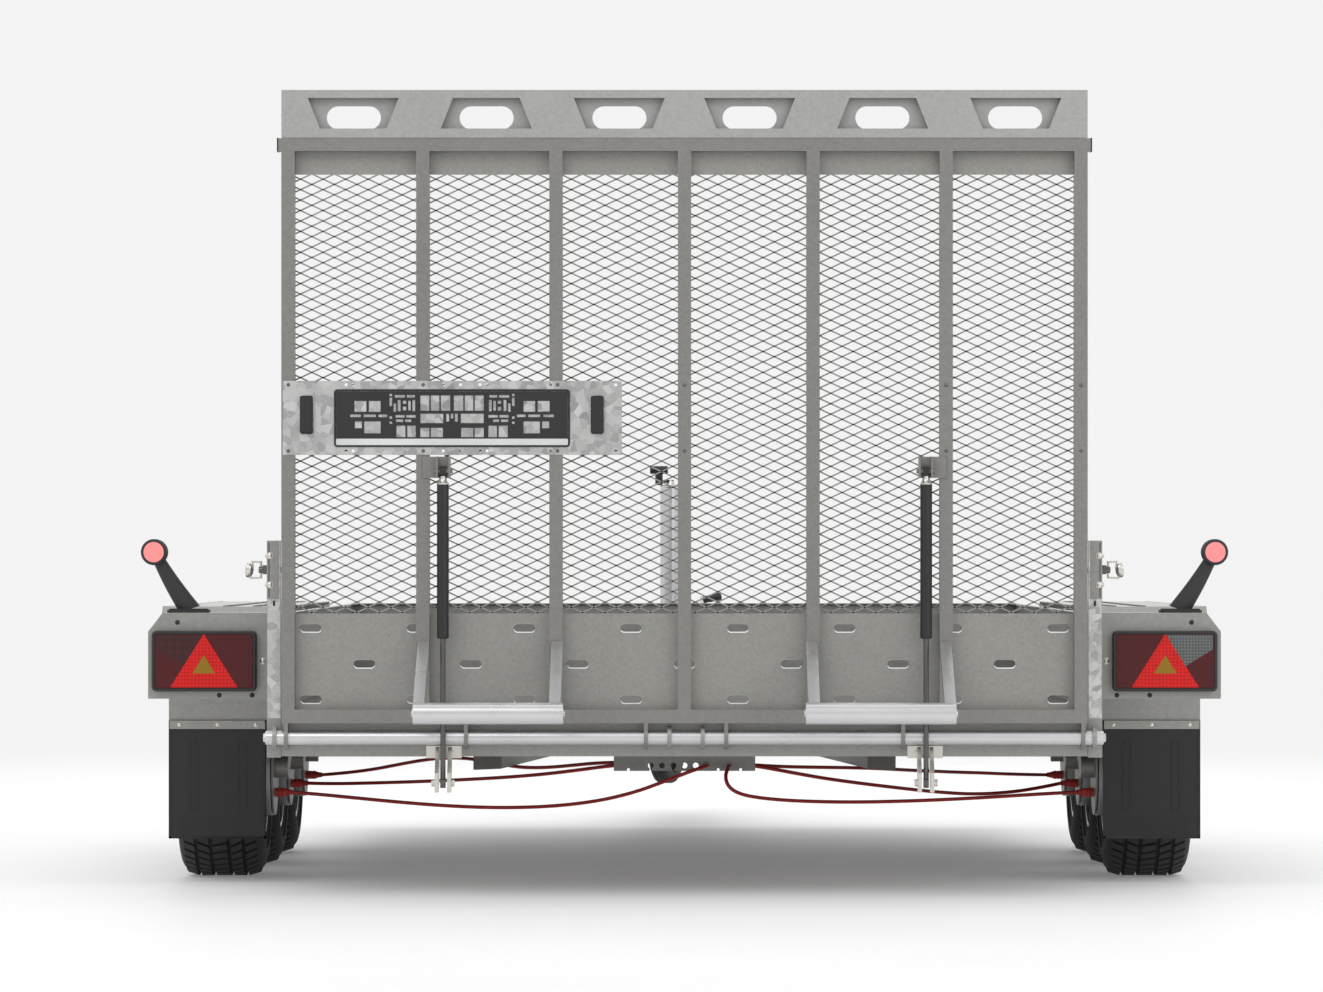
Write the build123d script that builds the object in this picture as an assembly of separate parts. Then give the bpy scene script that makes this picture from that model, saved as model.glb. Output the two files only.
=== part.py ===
from build123d import *
import math
import os

# Tri-axle flatbed trailer with a rear loading ramp, in millimetres.
# X is to the right, Y is forward (towing direction), Z is up, and the wheels stand on Z = 0.
# Every Y below is counted forward from the rear face of the raised ramp; save() shifts the
# finished pieces so that the whole trailer is centred on the origin.

# ------------------------------------------------------------------ driving dimensions
BODY_HALF = 945                 # half width over the side walls and rear posts
SHEET = 2.5                     # folded sheet thickness
DECK_BOTTOM = 400
DECK_TOP = 415
WALL_TOP = 637
BED_REAR = 110
BED_FRONT = 3750

RAMP_HALF = 909                 # half width of the ramp
RAMP_DEPTH = 36                 # depth of the ramp's bars, rear to front
BAR_WIDTH = 30
BAR_XS = (-894, -590, -290, 0, 290, 590, 894)
RAIL_BOTTOM = 392
RAIL_TOP = 423
SOLID_TOP = 639                 # top edge of the ramp's slotted lower sheet
BAND_BOTTOM = 1631              # bottom edge of the ramp's upper sheet band
CROSS_TUBE_BOTTOM = 1682
CROSS_TUBE_TOP = 1711
CROSS_TUBE_HALF = 916
CAP_THICK = 3
LIP_BOTTOM = 1712
LIP_TOP = 1820
LIP_WINDOW_XS = (-747, -447, -147, 147, 447, 747)
CARRIER_HOLE_XS = (-763, -747, -544, -505, -461, -445, -302, -155)

HINGE_Y = 20
HINGE_Z = 359
HINGE_R = 16.5
HINGE_FIT = 0.05                # radial running clearance of the ramp eyes
EYE_R = 26.5
EYE_THICK = 9

BEAM_REAR = 50                  # rear cross beam
BEAM_FRONT = 110
BEAM_BOTTOM = 316
CHASSIS_BOTTOM = 345            # underside of the side rails and cross members
ARM_BOTTOM = 260                # underside of the V drawbar

SPRING_X = 544                  # gas springs, left and right of the centre line
SPRING_LOW = (-15, 258)         # lower pivot, Y and Z
SPRING_HIGH = (-20, 960)        # upper pivot, Y and Z
SPRING_LINE_Y = -18.5           # centre line of the cylinder and rod
CYLINDER_R = 13.5
TUBE_LOW = 592
TUBE_HIGH = 930
ROD_R = 6
ROD_TOP = 760                   # inner end of the rod, with room above it for the 157 mm stroke

AXLE_YS = {"rear": 1000, "middle": 1620, "front": 2240}
TYRE_R = 262.5
TYRE_WIDTH = 205
WHEEL_X = 1107.5                # middle plane of a wheel
SPINDLE_R = 17
SPINDLE_FIT = 0.05
PIVOT_AHEAD = 130               # suspension pivot ahead of the wheel's centre
PIVOT_Z = 313

FENDER_OUT = 1232
FENDER_TOP = 650
LAMP_BOX_REAR = 150
LAMP_X = 1093
LAMP_Z = 530
MARKER_X = 1211
MARKER_Z = 778
LATCH_Y = BEAM_REAR + 30
LATCH_Z = 738

COUPLING_Y = 5170               # centre of the ball socket
COUPLING_Z = 400
NOSE_R = 42
BALL_SOCKET_R = 25.1
JOCKEY_X = -40
JOCKEY_Y = 4080
JOCKEY_WHEEL_R = 100
JOCKEY_WHEEL_Z = 215
JOCKEY_YAW = -18                # the fork is swivelled a little to one side
JOCKEY_TRAIL = 40
HANDBRAKE_PIVOT = (4460, 448)
PULL_ROD_X = 30                 # brake rod, beside the jockey wheel

FOOT_Y = -290                   # support foot tube, behind the ramp
FOOT_Z = 421
FOOT_R = 24.15

REAR_END = FOOT_Y - FOOT_R
FRONT_END = COUPLING_Y + NOSE_R
SHIFT_Y = -(REAR_END + FRONT_END) / 2

os.makedirs("parts", exist_ok=True)


# ------------------------------------------------------------------ shape helpers
def box(x0, x1, y0, y1, z0, z1):
    """Block between two corners"""
    return Pos((x0 + x1) / 2, (y0 + y1) / 2, (z0 + z1) / 2) * Box(abs(x1 - x0), y1 - y0, z1 - z0)


def hollow(x0, x1, y0, y1, z0, z1, along, wall=SHEET):
    """Rectangular tube, open at both ends along the named axis"""
    skin = {axis: 0 if axis == along else wall for axis in "XYZ"}
    inside = box(
        min(x0, x1) + skin["X"], max(x0, x1) - skin["X"],
        y0 + skin["Y"], y1 - skin["Y"],
        z0 + skin["Z"], z1 - skin["Z"],
    )
    return box(x0, x1, y0, y1, z0, z1) - inside


def rod(along, start, end, centre, radius, bore=0):
    """Round bar or tube along an axis; centre holds its other two coordinates in X, Y, Z order"""
    length = abs(end - start)
    middle = (start + end) / 2
    body = Cylinder(radius, length)
    if bore:
        body = body - Cylinder(bore, length)
    turn = {"X": Rot(0, 90, 0), "Y": Rot(90, 0, 0), "Z": Rot(0, 0, 0)}[along]
    place = list(centre)
    place.insert("XYZ".index(along), middle)
    return Pos(*place) * turn * body


def prism(plane, points, low, high):
    """Straight prism of an outline drawn in the XY, XZ or YZ plane"""
    spot = {
        "XY": lambda a, b: (a, b, low),
        "XZ": lambda a, b: (a, low, b),
        "YZ": lambda a, b: (low, a, b),
    }[plane]
    direction = {"XY": (0, 0, 1), "XZ": (0, 1, 0), "YZ": (1, 0, 0)}[plane]
    outline = Wire.make_polygon([spot(a, b) for a, b in points], close=True)
    return extrude(Face(outline), amount=high - low, dir=direction)


def turned(points, x_mid, side, y, z):
    """Body of revolution about an axle along X; points are (outward offset, radius)"""
    outline = Wire.make_polygon([(side * offset, 0, radius) for offset, radius in points], close=True)
    return Pos(side * x_mid, y, z) * revolve(Face(outline), axis=Axis.X, revolution_arc=360)


def mirrored(piece):
    return mirror(piece, about=Plane.YZ)


def both_sides(*pieces):
    """The pieces, drawn on the right, together with their mirror images on the left"""
    return list(pieces) + [mirrored(piece) for piece in pieces]


def obround_cutter(x, z, width, height, y0, y1):
    """Slot-shaped cutter along Y with round ends"""
    radius = height / 2
    reach = width / 2 - radius
    middle = box(x - reach, x + reach, y0, y1, z - radius, z + radius)
    ends = [rod("Y", y0, y1, (x + s * reach, z), radius) for s in (-1, 1)]
    return middle + ends[0] + ends[1]


def save(node, *pieces):
    """Write one node, each piece a solid of its own"""
    solids = []
    for piece in pieces:
        solids += (Pos(0, SHIFT_Y, 0) * piece).solids()
    export_step(Compound(solids), f"parts/{node}.step")


# ------------------------------------------------------------------ ramp
def eye_plate(x, bore, web_box, thick=EYE_THICK):
    """Ring plate round the hinge tube with the web that carries it"""
    ring = rod("X", x - thick / 2, x + thick / 2, (HINGE_Y, HINGE_Z), EYE_R)
    y0, y1, z0, z1 = web_box
    plate = ring + box(x - thick / 2, x + thick / 2, y0, y1, z0, z1)
    return plate - rod("X", x - thick, x + thick, (HINGE_Y, HINGE_Z), bore)


def ramp_frame():
    bars = [
        hollow(x - BAR_WIDTH / 2, x + BAR_WIDTH / 2, 0, RAMP_DEPTH, RAIL_TOP, CROSS_TUBE_BOTTOM, "Z")
        for x in BAR_XS
    ]
    rail = hollow(-RAMP_HALF, RAMP_HALF, 0, RAMP_DEPTH, RAIL_BOTTOM, RAIL_TOP, "X")
    cross_tube = hollow(
        -CROSS_TUBE_HALF, CROSS_TUBE_HALF, 0, RAMP_DEPTH, CROSS_TUBE_BOTTOM, CROSS_TUBE_TOP, "X"
    )
    web = (HINGE_Y - 20, HINGE_Y + 16, HINGE_Z, RAIL_BOTTOM)
    eye_xs = (-899, -493, -87, 94, 493, 899)
    eyes = [eye_plate(x, HINGE_R + HINGE_FIT, web) for x in eye_xs]
    return bars + [rail, cross_tube] + eyes + both_sides(spring_upper_bracket())


def spring_upper_bracket():
    """Folded U standing off the ramp bar beside it, with the cross bolt of the gas spring"""
    x0, x1 = SPRING_X - 17, SPRING_X + 11
    y_pivot, z_pivot = SPRING_HIGH
    low, high = z_pivot - 15, z_pivot + 33
    back = box(x0, 590, -6, 0, low, high)
    wings = [box(x, x + 4, y_pivot - 14, -6, low, high) for x in (x0, x1)]
    bolt = rod("X", x0 - 5, x1 + 9, (y_pivot, z_pivot), 5)
    return back + wings[0] + wings[1] + bolt


def ramp_sheets():
    """Slotted lower sheet and plain upper band on the loading side of the bars"""
    y0, y1 = RAMP_DEPTH, RAMP_DEPTH + SHEET
    lower = box(-RAMP_HALF, RAMP_HALF, y0, y1, RAIL_BOTTOM, SOLID_TOP)
    pitch = 241.2
    rows = ((606, 0.5, 4), (525, 0, 4), (445, 0.5, 4))
    for z, offset, count in rows:
        for step in range(-count, count + 1):
            x = (step + offset) * pitch
            if abs(x) < RAMP_HALF - 40:
                lower = lower - obround_cutter(x, z, 50, 19.5, y0 - 1, y1 + 1)
    upper = box(-RAMP_HALF, RAMP_HALF, y0, y1, BAND_BOTTOM, CROSS_TUBE_TOP)
    return [lower, upper]


def ramp_mesh():
    """Diamond lattice between the two sheets, at a coarser pitch than the real expanded metal"""
    y0, y1 = RAMP_DEPTH, RAMP_DEPTH + SHEET
    columns, rows, strand = 12, 11, 12
    wide = (2 * RAMP_HALF - 2 * strand) / columns
    tall = (BAND_BOTTOM - SOLID_TOP - 2 * strand) / rows
    half_w = wide / 2 - strand * 0.75
    half_h = tall / 2 - strand * 0.45
    sheet = Face(Wire.make_polygon(
        [(-RAMP_HALF, y0, SOLID_TOP), (RAMP_HALF, y0, SOLID_TOP),
         (RAMP_HALF, y0, BAND_BOTTOM), (-RAMP_HALF, y0, BAND_BOTTOM)], close=True))
    holes = []
    for shift in (0, 1):
        for row in range(rows - shift):
            for column in range(columns - shift):
                x = -RAMP_HALF + strand + wide * (column + 0.5 + shift / 2)
                z = SOLID_TOP + strand + tall * (row + 0.5 + shift / 2)
                corners = [(x - half_w, y0, z), (x, y0, z - half_h), (x + half_w, y0, z), (x, y0, z + half_h)]
                holes.append(Wire.make_polygon(corners, close=True))
    return extrude(sheet.make_holes(holes), amount=y1 - y0, dir=(0, 1, 0))


def ramp_lip():
    """Folded channel along the ramp's top edge with six hand-holes"""
    rear = box(-RAMP_HALF, RAMP_HALF, 2, 2 + SHEET, LIP_BOTTOM, LIP_TOP)
    front = box(-RAMP_HALF, RAMP_HALF, 30, 30 + SHEET, LIP_BOTTOM, LIP_TOP)
    top = box(-RAMP_HALF, RAMP_HALF, 2, 30 + SHEET, LIP_TOP - SHEET, LIP_TOP)
    lip = rear + front + top
    z0, z1 = 1733, 1802
    for index, x in enumerate(LIP_WINDOW_XS):
        wide_top = index in (0, 2, 3, 5)
        bottom, upper = (75, 102.5) if wide_top else (102.5, 75)
        outline = [(x - bottom, z0), (x + bottom, z0), (x + upper, z1), (x - upper, z1)]
        lip = lip - prism("XZ", outline, 0, 10)
        lip = lip - obround_cutter(x, z0 + 26, 122, 52, 25, 40)
    return lip


def ramp_feet():
    """Two support tubes on square arms behind the lower part of the ramp"""
    foot = rod("X", 268, 600, (FOOT_Y, FOOT_Z), FOOT_R, FOOT_R - 3)
    arms = []
    for x in (287, 588):
        outline = [(0, 545), (0, 577), (-12, 577), (FOOT_Y + 5, FOOT_Z + 20), (FOOT_Y + 18, FOOT_Z - 7)]
        arms.append(prism("YZ", outline, x - 12.5, x + 12.5))
    return both_sides(foot, *[arm - rod("X", 260, 610, (FOOT_Y, FOOT_Z), FOOT_R) for arm in arms])


def number_plate_carrier():
    """Plate across the left part of the ramp, holding the number plate and its two lamps"""
    plate = box(-906, -141, -2, 0, 997, 1164)
    for x in CARRIER_HOLE_XS:
        for z in (1006, 1155):
            plate = plate - rod("Y", -3, 1, (x, z), 3.5)
    return plate


def number_plate_holder():
    return box(-790, -258, -7, -2, 1014.5, 1145)


def plastic_fittings():
    """Number plate lamps and the end caps of the cross tube"""
    lamps = [box(x0, x0 + 29, -26, -2, 1044, 1130) for x0 in (-866, -211)]
    cap = box(CROSS_TUBE_HALF, CROSS_TUBE_HALF + CAP_THICK, -1, RAMP_DEPTH + 1,
              CROSS_TUBE_BOTTOM - 1, CROSS_TUBE_TOP + 1)
    return lamps + both_sides(cap)


def ramp_fasteners():
    """Bolt heads at the ends of the support feet and down the rear faces of the bars"""
    bolts = []
    for side in (-1, 1):
        for x, outer in ((268, 262), (600, 606)):
            bolts.append(rod("X", side * x, side * outer, (FOOT_Y, FOOT_Z), 8))
    for x in (0, 590, 894):
        for z in (1006, 1154):
            bolts.append(rod("Y", -4, 0, (x, z), 5))
    return bolts


def save_ramp():
    save("ramp_frame", *ramp_frame())
    save("ramp_sheets", *ramp_sheets())
    save("ramp_mesh", ramp_mesh())
    save("ramp_lip", ramp_lip())
    save("ramp_support_feet", *ramp_feet())
    save("number_plate_carrier", number_plate_carrier())
    save("number_plate_holder", number_plate_holder())
    save("ramp_plastic_fittings", *plastic_fittings())
    save("ramp_fasteners", *ramp_fasteners())


# ------------------------------------------------------------------ gas springs
def gas_spring_cylinder(x):
    y, z = SPRING_HIGH
    tube = rod("Z", TUBE_LOW, TUBE_HIGH, (x, SPRING_LINE_Y), CYLINDER_R)
    tube = tube - rod("Z", TUBE_LOW, TUBE_HIGH - 5, (x, SPRING_LINE_Y), ROD_R + 0.05)
    neck = rod("Z", TUBE_HIGH, z - 9, (x, -19), 6)
    eye = rod("X", x - 7, x + 7, (y, z), 11, 5.05)
    return [tube, neck - rod("X", x - 8, x + 8, (y, z), 11), eye]


def gas_spring_rod(x):
    y, z = SPRING_LOW
    shaft = rod("Z", z + 9, ROD_TOP, (x, SPRING_LINE_Y), ROD_R)
    eye = rod("X", x - 6, x + 6, (y, z), 11.5, 5)
    return [shaft - rod("X", x - 8, x + 8, (y, z), 11.5), eye]


def save_gas_springs():
    for name, side in (("left", -1), ("right", 1)):
        save(f"gas_spring_cylinder_{name}", *gas_spring_cylinder(side * SPRING_X))
        save(f"gas_spring_rod_{name}", *gas_spring_rod(side * SPRING_X))


# ------------------------------------------------------------------ chassis
def chassis_frame():
    """Side rails and cross members under the deck"""
    rails = both_sides(
        hollow(905, BODY_HALF, BED_REAR, BED_FRONT, CHASSIS_BOTTOM, DECK_BOTTOM, "Y")
    )
    members = []
    for index in range(8):
        y = 480 + index * 460
        members.append(hollow(-905, 905, y - 20, y + 20, CHASSIS_BOTTOM, DECK_BOTTOM, "X"))
    return rails + members


def rear_beam():
    """Deep rear cross beam with the fixed lugs that carry the hinge tube"""
    beam = hollow(-912, 912, BEAM_REAR, BEAM_FRONT, BEAM_BOTTOM, DECK_BOTTOM, "X")
    web = (HINGE_Y, BEAM_REAR, HINGE_Z - 18, HINGE_Z + 18)
    lugs = [eye_plate(x, HINGE_R, web) for x in (-34, 41, -925, 925)]
    return [beam] + lugs


def drawbar_arm():
    """Right arm of the V, its rear end cut at a slant"""
    rear_x, rear_y = 470, 850
    front_x, front_y = 50, 4880
    half = 30
    outline = [
        (rear_x - half, rear_y + 40), (rear_x + half, rear_y - 40),
        (front_x + half, front_y), (front_x - half + 14, front_y),
    ]
    arm = prism("XY", outline, ARM_BOTTOM, CHASSIS_BOTTOM)
    inside = [(rear_x - half + 3, rear_y + 30), (rear_x + half - 3, rear_y - 50),
              (front_x + half - 3, front_y + 1), (front_x - half + 17, front_y + 1)]
    return arm - prism("XY", inside, ARM_BOTTOM + 3, CHASSIS_BOTTOM - 3)


def drawbar_head():
    """Top plate over the meeting arms, under the overrun housing"""
    return prism("XY", [(-110, 4230), (110, 4230), (78, 4900), (-78, 4900)], CHASSIS_BOTTOM, CHASSIS_BOTTOM + 5)


def side_wall():
    """Right side wall, a sheet with a folded top edge"""
    inner = BODY_HALF - SHEET
    outline = [
        (BODY_HALF - 20, WALL_TOP), (BODY_HALF - 20, WALL_TOP - SHEET), (inner, WALL_TOP - SHEET),
        (inner, DECK_BOTTOM), (BODY_HALF, DECK_BOTTOM), (BODY_HALF, WALL_TOP),
    ]
    return prism("XZ", outline, BED_REAR, BED_FRONT)


def front_wall():
    half = BODY_HALF - SHEET
    sheet = box(-half, half, BED_FRONT - SHEET, BED_FRONT, DECK_BOTTOM, WALL_TOP - SHEET)
    edge = BODY_HALF - 20
    return sheet + box(-edge, edge, BED_FRONT - 20, BED_FRONT, WALL_TOP - SHEET, WALL_TOP)


def rear_post():
    """Right rear post: a folded strip with a wider head that carries the latch"""
    strip = box(BODY_HALF - 32, BODY_HALF, BEAM_REAR, BEAM_REAR + SHEET, 313, 671)
    strip = strip + box(BODY_HALF - SHEET, BODY_HALF, BEAM_REAR, BED_REAR, 313, 671)
    head = box(BODY_HALF - 32, BODY_HALF, BEAM_REAR, BEAM_REAR + SHEET, 671, 804)
    head = head + box(BODY_HALF - SHEET, BODY_HALF, BEAM_REAR, BED_REAR, 671, 804)
    head = head + box(BODY_HALF - 32, BODY_HALF, BEAM_REAR, BED_REAR, 804 - SHEET, 804)
    return strip + head - rod("X", BODY_HALF - 10, BODY_HALF + 5, (BEAM_REAR + 30, 738), 7.5)


def body_panels():
    return both_sides(side_wall(), rear_post()) + [front_wall()]


def deck():
    """Anti-slip plywood boards on the cross members"""
    half = BODY_HALF - SHEET
    length = (BED_FRONT - SHEET - BED_REAR) / 2
    return [
        box(-half, half, BED_REAR + index * length, BED_REAR + (index + 1) * length, DECK_BOTTOM, DECK_TOP)
        for index in (0, 1)
    ]


def fender():
    """Right wheel cover: roof, sloped ends and a shallow outer skirt"""
    y0, y1 = 646, 2640
    skin = SHEET
    roof = box(BODY_HALF, FENDER_OUT, y0 + 60, y1 - 60, FENDER_TOP - skin, FENDER_TOP)
    slopes = []
    for y_out, y_in in ((y0, y0 + 60), (y1, y1 - 60)):
        outline = [(y_in, FENDER_TOP), (y_out, FENDER_TOP - 50), (y_out, FENDER_TOP - 50 - skin * 1.5),
                   (y_in, FENDER_TOP - skin * 1.5)]
        slopes.append(prism("YZ", outline, BODY_HALF, FENDER_OUT))
    rear_wall = box(975, 1215, y0, y0 + skin, 383, FENDER_TOP - 50 - skin * 1.5)
    front_panel = box(975, 1215, y1 - skin, y1, 440, FENDER_TOP - 50 - skin * 1.5)
    skirt = prism("YZ", [(y0, 555), (y1, 555), (y1, FENDER_TOP - 50), (y1 - 60, FENDER_TOP),
                         (y0 + 60, FENDER_TOP), (y0, FENDER_TOP - 50)], FENDER_OUT, FENDER_OUT + skin)
    strip = box(988, 1213, y0 - 8, y0 - 6, 362, 382)
    return [roof] + slopes + [rear_wall, front_panel, skirt, strip]


def mudflap():
    return box(986, 1215, 640, 646, 104, 383)


def stub_axle(y):
    """Right half-axle: square tube with its mounting plate under the side rail"""
    centre_y = y + PIVOT_AHEAD
    tube = hollow(600, 944, centre_y - 30, centre_y + 30, PIVOT_Z - 30, PIVOT_Z + 30, "X", wall=4)
    plate = box(880, 944, centre_y - 60, centre_y + 60, PIVOT_Z + 30, CHASSIS_BOTTOM)
    inner_plate = box(600, 660, centre_y - 60, centre_y + 60, PIVOT_Z + 30, CHASSIS_BOTTOM)
    journal = rod("X", 944, 952, (centre_y, PIVOT_Z), 24, SPINDLE_R + SPINDLE_FIT)
    closing = box(941, 944, centre_y - 26, centre_y + 26, PIVOT_Z - 26, PIVOT_Z + 26)
    closing = closing - rod("X", 930, 950, (centre_y, PIVOT_Z), SPINDLE_R + SPINDLE_FIT)
    return [tube, plate, inner_plate, journal, closing]


def lamp_box():
    """Right rear lamp box, folded sheet with one corner cut off, and its spacer plate"""
    outline = [(951, 444), (1222, 444), (1222, 597), (1189, 640), (951, 640)]
    inner = [(951 + SHEET, 444 + SHEET), (1222 - SHEET, 444 + SHEET), (1222 - SHEET, 596),
             (1188, 640 - SHEET), (951 + SHEET, 640 - SHEET)]
    shell = prism("XZ", outline, LAMP_BOX_REAR, 262)
    shell = shell - prism("XZ", inner, LAMP_BOX_REAR + SHEET, 270)
    return [shell, box(BODY_HALF, 951, LAMP_BOX_REAR + 5, 257, 460, 620)]


def tail_lamp_housing():
    body = box(LAMP_X - 120, LAMP_X + 120, LAMP_BOX_REAR - 24, LAMP_BOX_REAR, LAMP_Z - 70, LAMP_Z + 70)
    body = fillet(body.edges().filter_by(Axis.Y), 10)
    pocket = box(LAMP_X - 113, LAMP_X + 113, LAMP_BOX_REAR - 25, LAMP_BOX_REAR - 4, LAMP_Z - 63, LAMP_Z + 63)
    return body - pocket


def tail_lamp_lens():
    return box(LAMP_X - 112.5, LAMP_X + 112.5, LAMP_BOX_REAR - 28, LAMP_BOX_REAR - 5, LAMP_Z - 62.5, LAMP_Z + 62.5)


def marker_lamp():
    """Right end-outline lamp: rubber foot, leaning arm and round lamp head"""
    foot = box(1085, 1180, 160, 230, 640, 649)
    arm = prism("XZ", [(1108, 649), (1155, 649), (1216, 752), (1192, 760)], 180, 210)
    head = rod("Y", 174, 216, (MARKER_X, MARKER_Z), 30)
    return foot + arm + head


def marker_lenses():
    return [rod("Y", y0, y1, (MARKER_X, MARKER_Z), 23.5) for y0, y1 in ((167, 174), (216, 223))]


def hinge_tube():
    return rod("X", -BODY_HALF, BODY_HALF, (HINGE_Y, HINGE_Z), HINGE_R, HINGE_R - 3)


def spring_lower_bracket():
    """Right bracket of the gas spring's lower pivot: pad on the beam and two hanging plates"""
    pad = box(SPRING_X - 40, SPRING_X + 40, BEAM_REAR - 8, BEAM_REAR, 312, 340)
    outline = [(BEAM_REAR, 337), (28, 337), (-38, 281), (-38, 237), (20, 237), (BEAM_REAR, 284)]
    y, z = SPRING_LOW
    pieces = []
    for side in (-1, 1):
        inner, outer = SPRING_X + side * 10, SPRING_X + side * 18
        pieces.append(prism("YZ", outline, min(inner, outer), max(inner, outer)))
        pieces.append(rod("X", outer, outer + side * 8, (y, z), 8))
    return pieces + [pad - pieces[0] - pieces[2]]


def chassis_fasteners():
    """Bolt heads on the posts and lamp boxes, and the hinge tube's end screws"""
    bolts = []
    for z in (704, 770):
        bolts.append(rod("Y", BEAM_REAR - 5, BEAM_REAR, (BODY_HALF - 7, z), 6.5))
    bolts.append(rod("Y", LAMP_BOX_REAR - 6, LAMP_BOX_REAR, (961, LAMP_Z), 7))
    bolts.append(rod("X", BODY_HALF, BODY_HALF + 6, (HINGE_Y, HINGE_Z), 12))
    return both_sides(*bolts)


# ------------------------------------------------------------------ wheels and suspension
def swing_arm(side, y):
    """Trailing arm with its pivot pin and wheel spindle, and the brake back plate"""
    pivot = (y + PIVOT_AHEAD, PIVOT_Z)
    hub = (y, TYRE_R)
    length = math.hypot(pivot[0] - hub[0], pivot[1] - hub[1])
    across = ((pivot[1] - hub[1]) / length, -(pivot[0] - hub[0]) / length)
    outline = [
        (pivot[0] + across[0] * 28, pivot[1] + across[1] * 28),
        (hub[0] + across[0] * 24, hub[1] + across[1] * 24),
        (hub[0] - across[0] * 24, hub[1] - across[1] * 24),
        (pivot[0] - across[0] * 28, pivot[1] - across[1] * 28),
    ]
    arm = prism("YZ", outline, 955, 969)
    arm = arm + rod("X", 955, 969, pivot, 30) + rod("X", 955, 986, hub, 28)
    arm = arm + rod("X", 930, 955, pivot, SPINDLE_R) + rod("X", 986, WHEEL_X + 30, hub, SPINDLE_R)
    back_plate = rod("X", 986, 990, hub, 117, SPINDLE_R)
    pieces = [arm, back_plate]
    return pieces if side > 0 else [mirrored(piece) for piece in pieces]


def tyre(side, y):
    """Low-profile tyre, open towards the rim"""
    half = TYRE_WIDTH / 2
    outer = [(85, 165), (half - 2, 200), (half, 235), (half - 10, 256), (half - 28, TYRE_R)]
    inner = [(half - 30, TYRE_R - 10), (half - 18, 248), (half - 10, 235), (half - 12, 200), (76, 165)]
    right = outer + [(-offset, radius) for offset, radius in reversed(outer)]
    left = [(-offset, radius) for offset, radius in reversed(inner)]
    return turned(right + left + inner, WHEEL_X, side, y, TYRE_R)


def wheel(side, y):
    """Steel rim, brake drum with hub, grease cap and wheel bolts"""
    rim = [
        (-94, 161), (-94, 173), (-90, 173), (-90, 164.7), (90, 164.7), (90, 173),
        (94, 173), (94, 161), (26, 161), (26, 35), (20, 35), (20, 161),
    ]
    bore = SPINDLE_R + SPINDLE_FIT
    drum = [
        (-115, 108), (-115, 118), (-46, 118), (-46, 68), (20, 68), (20, 34.9), (34, 34.9),
        (34, bore), (-100, bore), (-100, 30), (-54, 30), (-54, 108),
    ]
    cap = [(34, 0), (34, 30), (46, 30), (52, 22), (52, 0)]
    pieces = [turned(points, WHEEL_X, side, y, TYRE_R) for points in (rim, drum, cap)]
    for index in range(5):
        angle = math.radians(90 + index * 72)
        spot = (y + 56 * math.cos(angle), TYRE_R + 56 * math.sin(angle))
        pieces.append(rod("X", side * (WHEEL_X + 26), side * (WHEEL_X + 40), spot, 9))
    return pieces


def save_wheels():
    for axle, y in AXLE_YS.items():
        for name, side in (("left", -1), ("right", 1)):
            save(f"swing_arm_{axle}_{name}", *swing_arm(side, y))
            save(f"tyre_{axle}_{name}", tyre(side, y))
            save(f"wheel_{axle}_{name}", *wheel(side, y))


# ------------------------------------------------------------------ ramp latches
def latch(side):
    """Sprung pull pin with a wire bail and an oval grip"""
    pin = rod("X", BODY_HALF - 34, BODY_HALF + 22, (LATCH_Y, LATCH_Z), 7)
    hub = rod("X", BODY_HALF + 6, BODY_HALF + 22, (LATCH_Y, LATCH_Z), 10)
    bail = [rod("X", BODY_HALF + 14, BODY_HALF + 44, (LATCH_Y, LATCH_Z + dz), 3) for dz in (-18, 18)]
    cross = box(BODY_HALF + 14, BODY_HALF + 20, LATCH_Y - 4, LATCH_Y + 4, LATCH_Z - 21, LATCH_Z + 21)
    grip = rod("X", BODY_HALF + 38, BODY_HALF + 49, (LATCH_Y, LATCH_Z), 22)
    piece = pin + hub + cross + bail[0] + bail[1] + grip
    return piece if side > 0 else mirrored(piece)


# ------------------------------------------------------------------ drawbar fittings
def jockey_outer_tube():
    """Outer tube with its clamp on a plate between the drawbar arms"""
    tube = rod("Z", 380, 968, (JOCKEY_X, JOCKEY_Y), 30, 25.05)
    clamp = box(JOCKEY_X - 45, JOCKEY_X + 45, JOCKEY_Y - 40, JOCKEY_Y + 40, 400, 450)
    clamp = clamp - rod("Z", 390, 460, (JOCKEY_X, JOCKEY_Y), 30)
    plate = box(-95, 95, JOCKEY_Y - 60, JOCKEY_Y + 60, CHASSIS_BOTTOM, CHASSIS_BOTTOM + 8)
    plate = plate - rod("Z", 300, 400, (JOCKEY_X, JOCKEY_Y), 31)
    stand = box(JOCKEY_X + 20, JOCKEY_X + 45, JOCKEY_Y + 30, JOCKEY_Y + 40, CHASSIS_BOTTOM + 8, 400)
    return [tube, clamp, plate, stand]


def jockey_placed(piece):
    return Pos(JOCKEY_X, JOCKEY_Y, 0) * Rot(0, 0, JOCKEY_YAW) * piece


def jockey_leg():
    """Inner tube with the fork of the jockey wheel"""
    top = JOCKEY_WHEEL_Z + JOCKEY_WHEEL_R + 12
    inner = rod("Z", top + 8, 900, (0, 0), 25, 21)
    crown = box(-36, 36, -JOCKEY_TRAIL - 22, 30, top, top + 8)
    fork = crown
    for side in (-1, 1):
        cheek = [(-28, top), (18, top), (-JOCKEY_TRAIL + 16, JOCKEY_WHEEL_Z - 14),
                 (-JOCKEY_TRAIL - 16, JOCKEY_WHEEL_Z - 14), (-JOCKEY_TRAIL - 22, top)]
        fork = fork + prism("YZ", cheek, min(side * 30, side * 35), max(side * 30, side * 35))
    axle = rod("X", -38, 38, (-JOCKEY_TRAIL, JOCKEY_WHEEL_Z), 8)
    return [jockey_placed(inner), jockey_placed(fork + axle)]


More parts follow.
